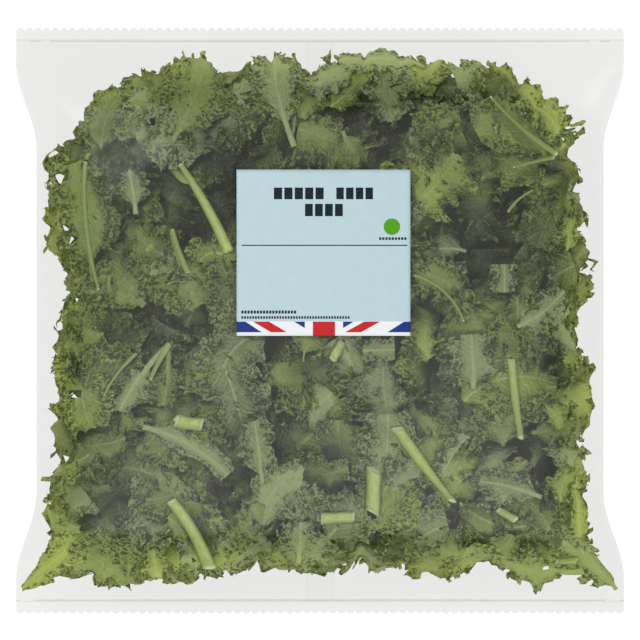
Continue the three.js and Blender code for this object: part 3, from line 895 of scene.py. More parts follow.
# %% [markdown]
# ## The surface of kale
#
# A kale leaf is dark and a little waxy above and paler below. Thick veins fan out from the
# rib, and a fine net of small veins fills the rest. All leaf finishes share this pattern, so
# it is one node group with its own colours in each material. It reads the blade's UV map
# in centimetres, which keeps every vein at its real size on large and small pieces.

# %% What the leaf pattern takes and gives
skin, given, made = new_group(
    "leaf_skin",
    [
        ("Dark", "NodeSocketColor", colour(0.02, 0.05, 0.01)),
        ("Light", "NodeSocketColor", colour(0.1, 0.2, 0.04)),
        ("Vein", "NodeSocketColor", colour(0.2, 0.35, 0.1)),
        ("Lit", "NodeSocketColor", colour(0.2, 0.4, 0.02)),
    ],
    [
        ("Color", "NodeSocketColor"), ("Roughness", "NodeSocketFloat"),
        ("Height", "NodeSocketFloat"), ("Glow", "NodeSocketColor"),
    ],
)
blade_map = skin.nodes.new("ShaderNodeUVMap")
blade_map.uv_map = "blade"
split = skin.nodes.new("ShaderNodeSeparateXYZ")
skin.links.new(blade_map.outputs[0], split.inputs[0])
here = skin.nodes.new("ShaderNodeTexCoord").outputs["Object"]

# %% Veins in fans, the net between them, and a painted highlight on the margin
waver = noise_node(skin, blade_map.outputs[0], 1.4)
away = math_node(skin, "ABSOLUTE", split.outputs[1])
fan = math_node(skin, "MULTIPLY_ADD", math_node(skin, "POWER", away, 0.75), -0.95, split.outputs[0])
fan = math_node(skin, "MULTIPLY_ADD", waver, 0.55, fan)
main_branch = math_node(skin, "DIVIDE", math_node(skin, "PINGPONG", fan, 0.5), 0.042)
main_branch = span_node(skin, main_branch, 0.3, 1.2, 1.0, 0.0)
fine_branch = math_node(skin, "DIVIDE", math_node(skin, "PINGPONG", fan, 0.14), 0.04)
fine_branch = span_node(skin, fine_branch, 0.2, 1.4, 1.0, 0.0)
branch = math_node(skin, "MULTIPLY", main_branch, 0.6)
branch = math_node(skin, "MULTIPLY_ADD", fine_branch, 0.35, branch)
net = skin.nodes.new("ShaderNodeTexVoronoi")
net.feature = "DISTANCE_TO_EDGE"
net.inputs["Scale"].default_value = 5.0
connect(skin, net.inputs["Vector"], blade_map.outputs[0])
mesh_of_veins = span_node(skin, net.outputs["Distance"], 0.0, 0.13, 1.0, 0.0)
rib_mask = span_node(skin, attribute_node(skin, "rib"), 0.4, 0.8, 0.0, 0.85)
veins_and_edge_light = math_node(skin, "MULTIPLY_ADD", mesh_of_veins, 0.15, branch)
veins_and_edge_light = math_node(skin, "MAXIMUM", rib_mask, veins_and_edge_light, clamp=True)
margin = attribute_node(skin, "margin")
# The very margin is painted lighter, as a painted highlight where leaf edges catch the light
veins_and_edge_light = math_node(skin, "MAXIMUM", veins_and_edge_light, span_node(skin, margin, 0.9, 1.0, 0.0, 0.6))

# %% Fine curls that are too small for the mesh, with painted shade in the pits and painted light on the crests
patchy = math_node(skin, "MULTIPLY_ADD", noise_node(skin, here, 110.0), 1.1, -0.55)
curled = span_node(skin, math_node(skin, "ADD", margin, patchy), 0.2, 0.62)
wide_curl = math_node(skin, "ABSOLUTE", math_node(skin, "SUBTRACT", noise_node(skin, here, 330.0), 0.5))
tight_curl = math_node(skin, "ABSOLUTE", math_node(skin, "SUBTRACT", noise_node(skin, here, 620.0), 0.5))
curls = math_node(skin, "MULTIPLY_ADD", tight_curl, 0.6, wide_curl)
curls = span_node(skin, curls, 0.02, 0.2, 1.0, 0.0)
# Masks for painted shade in the pits of the curls and painted light on their crests, in place of the
# curls' own shading
pit_shade = math_node(skin, "MULTIPLY", curled, span_node(skin, curls, 0.1, 0.6, 1.0, 0.0))
crest_light = math_node(skin, "MULTIPLY", curled, span_node(skin, curls, 0.55, 1.0))

# %% Colour, from painted shade in the pits to painted light on the crests
mottle = math_node(skin, "MULTIPLY_ADD", noise_node(skin, here, 70.0), 0.9, -0.45)
speckle = math_node(skin, "MULTIPLY_ADD", noise_node(skin, here, 300.0), 0.6, -0.3)
tone = math_node(skin, "ADD", attribute_node(skin, "tone"), mottle)
tone = math_node(skin, "ADD", tone, speckle)
# the crests are painted lighter, as painted light
tone = math_node(skin, "MULTIPLY_ADD", crest_light, 0.55, tone, clamp=True)
blade = mix_node(skin, tone, given.outputs["Dark"], given.outputs["Light"])
blade = mix_node(skin, veins_and_edge_light, blade, given.outputs["Vein"])
lit = math_node(skin, "MULTIPLY", attribute_node(skin, "lit"), 0.35)
blade = mix_node(skin, lit, blade, given.outputs["Lit"])
# Painted shade: leaf that lies deep under the film, and the pits of the curls, are darkened, less at the
# heap's lit edge
painted_shade = span_node(skin, attribute_node(skin, "depth"), 0.35, 1.0, 0.0, 0.93)
open_side = math_node(skin, "MULTIPLY_ADD", attribute_node(skin, "lit"), -0.75, 1.0)
painted_shade = math_node(skin, "MULTIPLY", painted_shade, open_side)
painted_shade = math_node(skin, "MAXIMUM", painted_shade, math_node(skin, "MULTIPLY", pit_shade, 0.77))
glow = mix_node(skin, attribute_node(skin, "lit"), colour(0, 0, 0), given.outputs["Lit"])
glow = mix_node(skin, painted_shade, glow, colour(0, 0, 0))
skin.links.new(glow, made.inputs["Glow"])
# the painted shade darkens the colour towards near black
blade = mix_node(skin, painted_shade, blade, colour(0.006, 0.01, 0.003))
skin.links.new(blade, made.inputs["Color"])
skin.links.new(span_node(skin, veins_and_edge_light, 0.0, 1.0, 0.5, 0.4), made.inputs["Roughness"])

# %% Relief
quilt = math_node(skin, "MULTIPLY", net.outputs["Distance"], 0.8)
relief = math_node(skin, "SUBTRACT", quilt, math_node(skin, "MULTIPLY", branch, 0.4))
relief = math_node(skin, "MULTIPLY_ADD", math_node(skin, "MULTIPLY", curled, curls), 2.2, relief)
skin.links.new(relief, made.inputs["Height"])
print("leaf skin has", len(skin.nodes), "nodes")

# %% [markdown]
# ## Leaf materials
#
# The skin group gives the pattern, and each finish only chooses its colours. Leaf lets light
# through, and at the heap's edge the white ground lights it from behind. So the group also
# puts out a glow for that edge, which each finish gives out as a little light of its own. The
# pale underside is a material, which Solidify puts on the second face of every blade.

# %% The finishes of the leaves
GLOSS = 0.35
GLOW = 0.36


def leaf_material(name, dark, light, vein, lit):
    material = bpy.data.materials.new(name)
    material.use_nodes = True
    tree = material.node_tree
    shader = tree.nodes["Principled BSDF"]
    pattern = tree.nodes.new("ShaderNodeGroup")
    pattern.node_tree = skin
    for title, value in (("Dark", dark), ("Light", light), ("Vein", vein), ("Lit", lit)):
        pattern.inputs[title].default_value = colour(*value)
    bump = tree.nodes.new("ShaderNodeBump")
    bump.inputs["Strength"].default_value = 0.7
    bump.inputs["Distance"].default_value = 0.0012
    tree.links.new(pattern.outputs["Color"], shader.inputs["Base Color"])
    tree.links.new(pattern.outputs["Roughness"], shader.inputs["Roughness"])
    tree.links.new(pattern.outputs["Glow"], shader.inputs["Emission Color"])
    shader.inputs["Emission Strength"].default_value = GLOW
    tree.links.new(pattern.outputs["Height"], bump.inputs["Height"])
    tree.links.new(bump.outputs["Normal"], shader.inputs["Normal"])
    shader.inputs["Specular IOR Level"].default_value = GLOSS
    return material


upper = leaf_material(
    "kale_upper_side",
    dark=(0.046, 0.066, 0.013),
    light=(0.215, 0.275, 0.06),
    vein=(0.22, 0.28, 0.085),
    lit=(0.28, 0.34, 0.09),
)
under = leaf_material(
    "kale_underside",
    dark=(0.095, 0.13, 0.045),
    light=(0.27, 0.33, 0.14),
    vein=(0.32, 0.39, 0.17),
    lit=(0.34, 0.4, 0.12),
)
young_upper = leaf_material(
    "young_kale_upper_side",
    dark=(0.07, 0.105, 0.014),
    light=(0.26, 0.34, 0.06),
    vein=(0.34, 0.41, 0.12),
    lit=(0.36, 0.42, 0.09),
)
young_under = leaf_material(
    "young_kale_underside",
    dark=(0.12, 0.165, 0.042),
    light=(0.32, 0.4, 0.13),
    vein=(0.38, 0.46, 0.18),
    lit=(0.4, 0.46, 0.12),
)
print("leaf finishes:", [m.name for m in (upper, under, young_upper, young_under)])

# %% [markdown]
# ## The forty large pieces
#
# These are the pieces that the bag's weight and form come from, so each stands for one
# packed leaf and lies exactly on it. Some lie face down and show their pale side. In this
# bag leaf is opaque and stacked, so the ones deep inside are seen only through gaps.

# %% Lay the fine leaf over each packed leaf
LEAVES = 40
OLD_SHARE = 0.7  # of the large pieces, the ones that are dark, full-grown leaf
FACE_DOWN = 0.3
u_leaf, s_leaf = strip_points(leaf_strip)
worst = 0.0
for i in range(LEAVES):
    number = i + 1
    form = leaf_form(i)
    form["frilled_tip"] = 1.0 if draw(i, 31) < 0.6 else 0.0
    centre = strewn_centre(i, form)
    height, miss = packed_height(i, form, centre)
    worst = max(worst, miss)
    laid = lay(u_leaf, s_leaf, form, centre, height, seed=float(i) * 1.7)
    tones = [{"tone": draw_between(i, 32, 0.25, 0.75), "length": form["length"]}]
    young = draw(number, 20) >= OLD_SHARE
    skins = [young_upper, young_under] if young else [upper, under]
    if draw(i, 33) < FACE_DOWN:
        skins.reverse()
    leaf = leaf_object(f"kale_leaf_{number:02d}", leaf_strip, [laid], tones, skins, RIB_THICK)
    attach(leaf, "root")
    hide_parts(f"leaf_piece_{number:02d}")
print("laid", LEAVES, "leaves, whose grids miss the packed ones by at most", round(worst, 4), "mm")

# %% [markdown]
# ## How high the pile is
#
# Smaller cut pieces fill the bag between the large ones. Each has to lie on what is already
# there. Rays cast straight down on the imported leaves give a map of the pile's height, and no
# piece is laid lower than that. Rays cast up give the same for the back of the bag.

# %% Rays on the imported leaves
STEP = 2.0  # mm between places on the map
map_x = np.arange(-140, 141, STEP)
map_y = np.arange(-136, 137, STEP)
grid_x, grid_y = np.meshgrid(map_x, map_y)
corners, faces = [], []
for i in range(LEAVES):
    data = nodes[f"leaf_piece_{i + 1:02d}"].data
    first = len(corners)
    corners += [v.co / MM for v in data.vertices]
    faces += [[first + k for k in p.vertices] for p in data.polygons]
packed = BVHTree.FromPolygons(corners, faces)
pile_top = under_of(grid_x, grid_y, FILM) + 3
pile_low = top_of(grid_x, grid_y, FILM) - 3
for row in range(len(map_y)):
    for column in range(len(map_x)):
        here = (map_x[column], map_y[row])
        hit = packed.ray_cast(Vector((*here, 100)), Vector((0, 0, -1)))[0]
        if hit:
            pile_top[row, column] = hit.z
            pile_low[row, column] = packed.ray_cast(Vector((*here, -40)), Vector((0, 0, 1)))[0].z
print("pile map of", pile_top.shape, "places, up to", round(pile_top.max()), "mm high")


# %% Smooth a map, and read it anywhere
def smoothed(table, reach=2):
    out = table
    for axis in (0, 1):
        out = sum(np.roll(out, k, axis) for k in range(-reach, reach + 1)) / (2 * reach + 1)
    return out


def read_map(table, x, y):
    """The map's height at any place, taken evenly between its own places."""
    column = np.clip((x - map_x[0]) / STEP, 0, len(map_x) - 1.001)
    row = np.clip((y - map_y[0]) / STEP, 0, len(map_y) - 1.001)
    c, r = column.astype(int), row.astype(int)
    fc, fr = column - c, row - r
    upper_row = table[r, c] * (1 - fc) + table[r, c + 1] * fc
    lower_row = table[r + 1, c] * (1 - fc) + table[r + 1, c + 1] * fc
    return upper_row * (1 - fr) + lower_row * fr


# %% [markdown]
# ## Small cut pieces
#
# Kale for the bag is chopped, so much of it is small frilly scraps. They are strips like
# the large pieces with fewer faces, strewn evenly over the pile and round its edge. Scraps
# of one region are joined in one object, because hundreds of objects would be slow to handle.

# %% The form of a scrap
def scrap_form(k, size):
    return {
        "heading": 2 * math.pi * draw(k, 41),
        "length": size * draw_between(k, 42, 22, 46),
        "left": size * draw_between(k, 43, 8, 19),
        "right": size * draw_between(k, 44, 8, 19),
        "bend": draw_between(k, 45, -1.6, 1.6),
        "stalk": draw_between(k, 46, -0.3, 0.12),
        "rib": draw_between(k, 47, 0.4, 1.5),
        "tip": draw_between(k, 48, 0.3, 0.9),
        "lobes": draw_between(k, 49, 1.2, 2.2),
        "phase": 2 * math.pi * draw(k, 50),
        "frill": draw_between(k, 51, 0.8, 1.35),
        "rib_sink": draw_between(k, 52, -0.5, 0.5),
        "limit": draw_between(k, 57, 0.97, 1.06),
        "frills": SMALL_FRILLS,
    }


# %% Lay scraps and join them
def lay_scrap(k, centre, strip, front, size):
    form = scrap_form(k, size)
    table = smoothed(pile_top if front else pile_low, 1)
    tilt = draw_between(k, 53, -0.28, 0.28), draw_between(k, 54, -0.28, 0.28)
    depth = draw_between(k, 55, 3.5, 11.5)
    cup = draw_between(k, 58, -0.3, 0.45)

    def height(u, across, x, y):
        slope = tilt[0] * (x - centre[0]) + tilt[1] * (y - centre[1]) + cup * np.abs(across)
        swell = 1.5 * np.sin(x / 5.5 + k) * np.sin(y / 6.5 + 2 * k)
        if front:
            return np.maximum(top_of(x, y) - depth, read_map(table, x, y) - 2.0) + slope + swell
        return np.minimum(under_of(x, y) + depth, read_map(table, x, y) + 2.0) + slope + swell

    laid = lay(*strip_points(strip), form, centre, height, seed=k * 2.3)
    return laid, {"tone": draw_between(k, 56, 0.2, 1.0), "length": form["length"]}


def strew(name, first, centres, strip, skins, front, size):
    """One object of scraps, one on each centre, whose draws are numbered on from first."""
    laid, tones = [], []
    for n, centre in enumerate(centres):
        one, tone = lay_scrap(first + n, centre, strip, front, size)
        laid.append(one)
        tones.append(tone)
    piece = leaf_object(name, strip, laid, tones, skins, None)
    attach(piece, "root")


# %% Places for scraps
def even_places(first, count, reach):
    """Places strewn evenly over the heap, drawn in a little from its edge by reach."""
    places = []
    k = first
    while len(places) < count:
        k += 1
        across, up = even_place(k, 0.31, 0.77)
        x, y = HEAP.x * reach * across, HEAP.y * reach * up
        if outness(x, y) < 0.97:
            places.append((x, y))
    return places


def rim_places(count, start):
    """Places all round the heap, from start to a little further out."""
    places = []
    for k in range(count):
        turn = 2 * math.pi * (k + 0.5 * draw(k, 61)) / count
        far = start + 0.14 * draw(k, 62)
        x, y = math.cos(turn), math.sin(turn)
        grow = far / float(outness(HEAP.x * x, HEAP.y * y))
        places.append((HEAP.x * x * grow, HEAP.y * y * grow))
    return places


# %% Strew the scraps
GREEN, PALE, YOUNG = [upper, under], [under, upper], [young_upper, young_under]
IN_TURN = (GREEN, GREEN, YOUNG, PALE)
regions = (  # name, places, strip, skins of its objects, first scrap, size, at the front
    ("scraps_back", even_places(900, 60, 0.95), back_strip, (GREEN, PALE), 300, 1.0, False),
    ("scraps_rim", rim_places(84, 0.83), rim_strip, (GREEN, YOUNG, PALE), 400, 0.68, True),
    ("scraps_front", even_places(0, 184, 0.98), scrap_strip, IN_TURN * 2, 0, 1.0, True),
)
for region, places, strip, skins_in_turn, first, size, front in regions:
    parts = len(skins_in_turn)
    for n, skins in enumerate(skins_in_turn):
        strew(f"{region}_{n + 1}", first + 40 * n, places[n::parts], strip, skins, front, size)
    print("strewn", len(places), "scraps as", parts, "objects called", region)

# %% [markdown]
# ## Pieces that show on top
#
# What lies against the front film is what the eye reads: smooth pieces with a pale rib,
# undersides with fans of veins, and narrow ends. Each of these is placed from its cut end
# to its tip, on top of the pile and close under the film.

# %% Where the front pieces lie
FRONT = (  # cut end, tip, half widths left and right in mm, bend, rib, stalk, tip share, frill, skin
    ((294, 147), (272, 56), 14, 15, -0.3, 1.3, 0.30, 0.8, 1.0, "pale"),
    ((172, 142), (206, 58), 16, 17, 0.3, 1.2, 0.10, 0.7, 0.6, "green"),
    ((90, 277), (82, 162), 13, 14, 0.2, 1.0, 0.10, 0.5, 1.1, "green"),
    ((136, 214), (130, 170), 8, 8, 0.1, 1.1, 0.20, 0.6, 0.8, "pale"),
    ((172, 231), (198, 306), 15, 18, 0.3, 1.2, 0.45, 0.9, 0.4, "green"),
    ((424, 62), (338, 60), 5, 6, 0.2, 0.9, 0.05, 0.6, 0.6, "pale"),
    ((552, 157), (492, 98), 9, 14, -0.3, 1.3, 0.10, 0.5, 0.5, "green"),
    ((568, 148), (528, 96), 9, 9, 0.4, 0.8, 0.05, 0.4, 0.8, "young"),
    ((503, 292), (503, 264), 5.5, 6, 0.0, 0.5, -0.40, 1.0, 0.0, "pale"),
    ((516, 326), (564, 290), 8, 8, 0.5, 1.0, 0.00, 0.6, 0.4, "pale"),
    ((566, 250), (570, 216), 5, 5, 0.2, 0.6, 0.00, 0.5, 0.8, "young"),
    ((464, 308), (412, 272), 11, 12, 1.3, 1.1, 0.15, 0.7, 0.9, "green"),
    ((168, 346), (120, 410), 9, 10, 0.4, 1.4, 0.35, 0.5, 1.0, "pale"),
    ((168, 346), (163, 405), 8, 8, -0.3, 1.1, 0.30, 0.5, 0.9, "green"),
    ((143, 426), (228, 474), 5, 6, -0.6, 1.2, 0.00, 0.8, 0.3, "pale"),
    ((262, 482), (254, 420), 8, 9, 0.1, 1.0, 0.10, 0.8, 0.5, "pale"),
    ((155, 588), (153, 549), 5, 6, 0.2, 1.0, 0.10, 0.6, 0.6, "young"),
    ((97, 528), (27, 588), 8, 8, 0.2, 1.1, 0.00, 0.2, 0.3, "young"),
    ((298, 568), (300, 520), 8, 9, 0.1, 1.1, 0.20, 0.8, 0.7, "pale"),
    ((362, 350), (394, 349), 5.5, 5.5, 0.0, 0.8, -0.20, 1.0, 0.1, "pale"),
    ((472, 388), (470, 334), 12, 12, 0.1, 1.2, 0.05, 0.8, 0.5, "pale"),
    ((540, 496), (478, 480), 7, 8, 0.3, 1.0, 0.05, 0.7, 0.5, "pale"),
    ((573, 567), (502, 565), 9, 9, -0.8, 1.4, 0.20, 0.6, 0.8, "green"),
    ((578, 551), (576, 476), 4, 4, 0.1, 0.8, 0.00, 0.1, 0.3, "young"),
    ((228, 262), (200, 262), 9, 10, 2.4, 0.8, -0.20, 0.8, 0.9, "young"),
    ((185, 538), (168, 516), 6, 7, 0.6, 0.6, -0.10, 0.7, 1.2, "young"),
    ((206, 536), (222, 516), 6, 6, -0.6, 0.6, -0.10, 0.7, 1.2, "young"),
    ((212, 566), (236, 548), 6, 6, 0.4, 0.6, -0.10, 0.7, 1.2, "young"),
    ((607, 588), (560, 540), 7, 7, 0.2, 0.8, 0.05, 0.5, 0.9, "green"),
    ((577, 122), (587, 118), 1.6, 1.6, 0.2, 0.3, -0.20, 0.5, 0.2, "young"),
)
print(len(FRONT), "pieces on top")

# %% From two ends to a piece
SKINS = {"green": GREEN, "pale": PALE, "young": YOUNG}
u_piece, s_piece = strip_points(piece_strip)


def front_piece(n, start, tip, left, right, bend, rib, stalk, tip_share, frill_share, kind):
    (x0, y0), (x1, y1) = spot(*start), spot(*tip)
    run = math.hypot(x1 - x0, y1 - y0)
    arch = float(np.sinc(bend / 4 / math.pi))
    length = run / (arch * math.cos(bend / 4))
    sag = length / 2 * arch * math.sin(bend / 4)
    heading = math.atan2(y1 - y0, x1 - x0)
    centre = ((x0 + x1) / 2 + sag * math.sin(heading), (y0 + y1) / 2 - sag * math.cos(heading))
    form = {
        "heading": heading, "length": length, "left": left, "right": right, "bend": bend,
        "stalk": stalk, "rib": rib, "tip": tip_share, "lobes": 1.7, "phase": n * 2.1,
        "frill": frill_share, "rib_sink": -0.7 if kind == "pale" else 0.5, "limit": 1.3,
        "frills": SMALL_FRILLS,
    }
    table = smoothed(pile_top)

    def height(u, across, x, y):
        lie = np.maximum(read_map(table, x, y) + 0.5, top_of(x, y) - 2.2)
        return lie + 1.0 * np.sin(x / 7 + n) * np.sin(y / 6 + 2 * n)

    laid = lay(u_piece, s_piece, form, centre, height, seed=n * 3.1 + 0.7)
    tones = [{"tone": draw_between(n, 71, 0.4, 0.8), "length": length}]
    thick = min(RIB_THICK, rib * 1.7)
    piece = leaf_object(f"front_leaf_{n + 1:02d}", piece_strip, [laid], tones, SKINS[kind], thick)
    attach(piece, "root")


# %% Lay the front pieces
for n, values in enumerate(FRONT):
    front_piece(n, *values)
print("laid front_leaf_01 to", f"front_leaf_{len(FRONT):02d}")

# %% [markdown]
# ## The film
#
# The bag is one sheet of clear film made into a tube. It starts as a flat grid, which is
# rolled round by giving every point its place on the bag's ring, and the two edges that
# meet are merged. At both ends the tube closes to a line, where the weld begins. Filled
# bags gather there, so small pleats run in from the welds and fade.

# %% Roll the grid into a tube
LABEL_AT = (1.6, 31.3)  # the label's middle. The film is smooth under it
mesh = grid_mesh("film_tube", 128, 104)
around, share, _ = points_of(mesh).T
y = SEAL_LINE * np.sign(share) * np.abs(share) ** 0.72
turn = math.pi * around
x = half_width(y) * np.sign(np.cos(turn)) * np.abs(np.cos(turn)) ** 0.8
front = np.sin(turn) >= 0
inward = SEAL_LINE - np.abs(y)
pleat = np.sin(x / 3.4 + 1.5 * np.sin(x / 11 + y / 30))
pleat *= np.exp(-inward / 17) * smoothstep(0, 5, inward)
pleat += 0.6 * np.sin(x / 7.9 + 2.0 + y / 40) * np.exp(-inward / 30) * smoothstep(0, 8, inward)
edge = half_width(y) - np.abs(x)
fold = np.sin(edge / 2.1 + 1.2 * np.sin(y / 19)) * np.exp(-edge / 5) * smoothstep(0, 1.5, edge)
dent = np.array([noise.noise((px / 16, py / 16, 0.3)) for px, py in zip(x, y)])
dent += 0.5 * np.array([noise.noise((px / 7, py / 7, 4.1)) for px, py in zip(x, y)])
beside = np.maximum(np.abs(x - LABEL_AT[0]) - 40, 0)
above = np.maximum(np.abs(y - LABEL_AT[1]) - 38, 0)
off_label = smoothstep(0, 10, np.hypot(beside, above))
pull = np.where(front, 0.25 + 0.75 * off_label, 1.0) * smoothstep(0, 6, inward)
wave = 0.9 * pleat + 0.5 * fold + 0.7 * dent * pull - 0.5 * smoothstep(0, 6, inward)
hold = smoothstep(0, 1, inward / 2)
top = np.maximum(top_of(x, y) + np.minimum(wave, 0.6), fold_height(y) + 0.2 * hold)
low = np.minimum(under_of(x, y) - np.minimum(wave * 0.4, 0), fold_height(y) - 0.2 * hold)
z = np.where(front, top, low)
z = np.where(np.abs(np.abs(around) - 1) < 1e-6, fold_height(y), z)
z = np.where(np.abs(around) < 1e-6, fold_height(y), z)
move_points(mesh, x, y, np.maximum(z, 0.15))
bm = bmesh.new()
bm.from_mesh(mesh)
bmesh.ops.remove_doubles(bm, verts=bm.verts, dist=0.00002)
bmesh.ops.recalc_face_normals(bm, faces=bm.faces)
bm.to_mesh(mesh)
bm.free()
print("film tube:", len(mesh.vertices), "points,", len(mesh.polygons), "faces")

# %% [markdown]
# ## How clear film looks
#
# Clear film hardly shows. What shows is a faint grey veil where it turns to the light, a
# brighter milky one over the leaves, and bright lines on its pleats. So the film is a thin
# surface with a low alpha, and an attribute written on its points paints its colour lighter
# where it faces up over the heap: painted light.
# Layer Weight makes it denser where it is seen edge on. The tube is closed by a seam down
# its back, where two films lie on each other, and so is each weld.

# %% Where the film's colour is painted lighter
SEAM_WIDTH = 12  # the lap seam along the back


def film_light_and_seam(mesh):
    """How much lighter the film's colour is painted at each point, as painted light where it faces up:
    most over the flat lower half, least at the sides.
    """
    normal = np.empty(len(mesh.vertices) * 3)
    mesh.vertices.foreach_get("normal", normal)
    place = points_of(mesh) / MM
    flat = smoothstep(0.86, 0.985, np.abs(normal.reshape(-1, 3)[:, 2]))
    over = 1 - smoothstep(0.8, 1.0, outness(place[:, 0], place[:, 1]))
    over *= 0.85 - 0.4 * smoothstep(-70, 100, place[:, 1])
    write_values(mesh, "painted_film_light", flat * over)
    behind = place[:, 2] < fold_height(place[:, 1])
    seam = np.where(behind, np.clip(1 - np.abs(place[:, 0]) / SEAM_WIDTH, 0, 1), 0)
    write_values(mesh, "seam", seam)


# %% Film finish
def film_material(name, alpha, weld=False):
    material = bpy.data.materials.new(name)
    material.use_nodes = True
    tree = material.node_tree
    shader = tree.nodes["Principled BSDF"]
    here = tree.nodes.new("ShaderNodeTexCoord").outputs["Object"]
    # Painted light: the colour goes from the film's grey tint to light grey where the painted-light
    # attribute is high, broken by noise
    cloud = span_node(tree, noise_node(tree, here, 14.0), 0.3, 0.7, 0.75, 1.1)
    painted_film_light = math_node(tree, "MULTIPLY", attribute_node(tree, "painted_film_light"), cloud, clamp=True)
    tint = mix_node(tree, painted_film_light, colour(0.13, 0.15, 0.08), colour(0.54, 0.55, 0.53))
    tree.links.new(tint, shader.inputs["Base Color"])
    facing = tree.nodes.new("ShaderNodeLayerWeight")
    facing.inputs["Blend"].default_value = 0.25
    dense = span_node(tree, facing.outputs["Facing"], 0.35, 1.0, alpha, min(1.0, alpha * 3.2))
    seam = attribute_node(tree, "seam")
    dense = math_node(tree, "ADD", dense, span_node(tree, seam, 0.48, 0.52, 0.0, 0.02))
    seam_edge = math_node(tree, "ABSOLUTE", math_node(tree, "SUBTRACT", seam, 0.5))
    dense = math_node(tree, "ADD", dense, span_node(tree, seam_edge, 0.02, 0.06, 0.02, 0.0))
    if weld:
        split = tree.nodes.new("ShaderNodeSeparateXYZ")
        tree.links.new(here, split.inputs[0])
        out = math_node(tree, "ABSOLUTE", split.outputs[1])
        line = math_node(tree, "ABSOLUTE", math_node(tree, "SUBTRACT", out, (SEAL_LINE + 0.3) * MM))
        dense = math_node(tree, "ADD", dense, span_node(tree, line, 0.0002, 0.0006, 0.06, 0.0))
    tree.links.new(dense, shader.inputs["Alpha"])
    shader.inputs["Roughness"].default_value = 0.16
    shader.inputs["Specular IOR Level"].default_value = 0.35
    return material


# %% Dress the tube
film_light_and_seam(mesh)
smooth_faces(mesh)
mesh.materials.append(film_material("clear_film", 0.115))
tube = in_scene("film_tube", mesh)
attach(tube, "root")
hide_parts("film_bag")
print("the tube wears", mesh.materials[0].name)

# %% [markdown]
# ## The vent
#
# Cut leaves still breathe, so such a bag has a small round hole in its back. Film melts and
# thickens round a punched hole, so a flat ring marks it: a circle, extruded and scaled
# outwards, laid on the film.

# %% Vent in the back
VENT = (40, 60, 1.5)  # middle and radius in mm
bm = bmesh.new()
bmesh.ops.create_circle(bm, segments=32, radius=VENT[2])
ring = bmesh.ops.extrude_edge_only(bm, edges=bm.edges[:])["geom"]
outer = [v for v in ring if isinstance(v, bmesh.types.BMVert)]
bmesh.ops.scale(bm, vec=(1.5, 1.5, 1), verts=outer)
mesh = finished_mesh(bm, "vent_rim")
for v in mesh.vertices:
    x, y = VENT[0] + v.co.x, VENT[1] + v.co.y
    v.co = (x * MM, y * MM, (float(under_of(x, y)) + 0.12) * MM)
mesh.materials.append(film_material("vent_rim_film", 0.3))
vent = in_scene("vent_rim", mesh)
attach(vent, "root")
print("vent rim has", len(mesh.polygons), "faces")

# %% [markdown]
# ## The welds
#
# Beyond each weld line the two films are one flat band, cut off by a blade with rounded
# teeth. A flat grid with six columns to a tooth takes the blade's shape at its outer row,
# and Solidify gives the band its thickness.

# %% Weld bands with toothed edges
TOOTH_PITCH = 4.015
TOOTH_DEPTH = 1.3


def weld_band(name, end):
    teeth = round(FLAT_WIDTH / TOOTH_PITCH)
    mesh = grid_mesh(name, teeth * 6, 6)
    side, out, _ = points_of(mesh).T
    out = (out + 1) / 2
    tooth = np.abs(np.sin(math.pi * teeth * (side + 1) / 2)) ** 0.8
    x = side * half_width(SEAL_LINE)
    y = SEAL_LINE + out * (SEAL_DEPTH - TOOTH_DEPTH * (1 - tooth))
    ripple = 0.25 * np.sin(x / 9 + end) * out + 0.12 * np.sin(out * 14)
    move_points(mesh, x, end * y, fold_height(SEAL_LINE) + ripple)
    if end < 0:
        mesh.flip_normals()
    # the weld is painted a little lighter, as painted light
    write_values(mesh, "painted_film_light", np.full(len(x), 0.15))
    smooth_faces(mesh)
    band = in_scene(name, mesh)
    thicken(band, 0.12, 0)
    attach(band, "root")
    return band


weld_film = film_material("welded_film", 0.11, weld=True)
for name, end in (("weld_top", 1), ("weld_bottom", -1)):
    band = weld_band(name, end)
    band.data.materials.append(weld_film)
    print(name, "has", len(band.data.polygons), "faces")

# %% [markdown]
# ## The label
#
# The label is paper stuck on the film, so it takes the film's curve. Its print is made of
# plain shapes in the material: bars where the wording would be, a disc, a rule and a band
# of slanted blocks. Each shape is a product of half planes in the label's own millimetres.

# %% Label sheet
LABEL_SIZE = (80.0, 76.5)
mesh = grid_mesh("label_sheet", 44, 42)
label_x, label_y, _ = points_of(mesh).T
label_x = label_x * LABEL_SIZE[0] / 2
label_y = label_y * LABEL_SIZE[1] / 2
x, y = LABEL_AT[0] + label_x, LABEL_AT[1] + label_y
z = top_of(x, y) + 0.45 + 0.1 * np.sin(x / 15) * np.sin(y / 13)
move_points(mesh, x, y, z)
write_map(mesh, "print", label_x, label_y)
smooth_faces(mesh)
label = in_scene("label_sheet", mesh)
thicken(label, 0.2, 1)
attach(label, "root")
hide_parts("label")
print("label of", LABEL_SIZE, "mm lies from", round(z.min(), 1), "to", round(z.max(), 1), "mm high")

# %% Start the label's finish
paper = bpy.data.materials.new("printed_label")
paper.use_nodes = True
tree = paper.node_tree
shader = tree.nodes["Principled BSDF"]
where = tree.nodes.new("ShaderNodeUVMap")
where.uv_map = "print"
split = tree.nodes.new("ShaderNodeSeparateXYZ")
tree.links.new(where.outputs[0], split.inputs[0])
across_label = math_node(tree, "MULTIPLY", split.outputs[0], 10.0)
up_label = math_node(tree, "MULTIPLY", split.outputs[1], 10.0)


# %% Shapes made of half planes
def beyond(a, b, c):
    """1 where a times across plus b times up is more than c."""
    total = math_node(tree, "MULTIPLY", across_label, a)
    total = math_node(tree, "MULTIPLY_ADD", up_label, b, total)
    return math_node(tree, "GREATER_THAN", total, c)


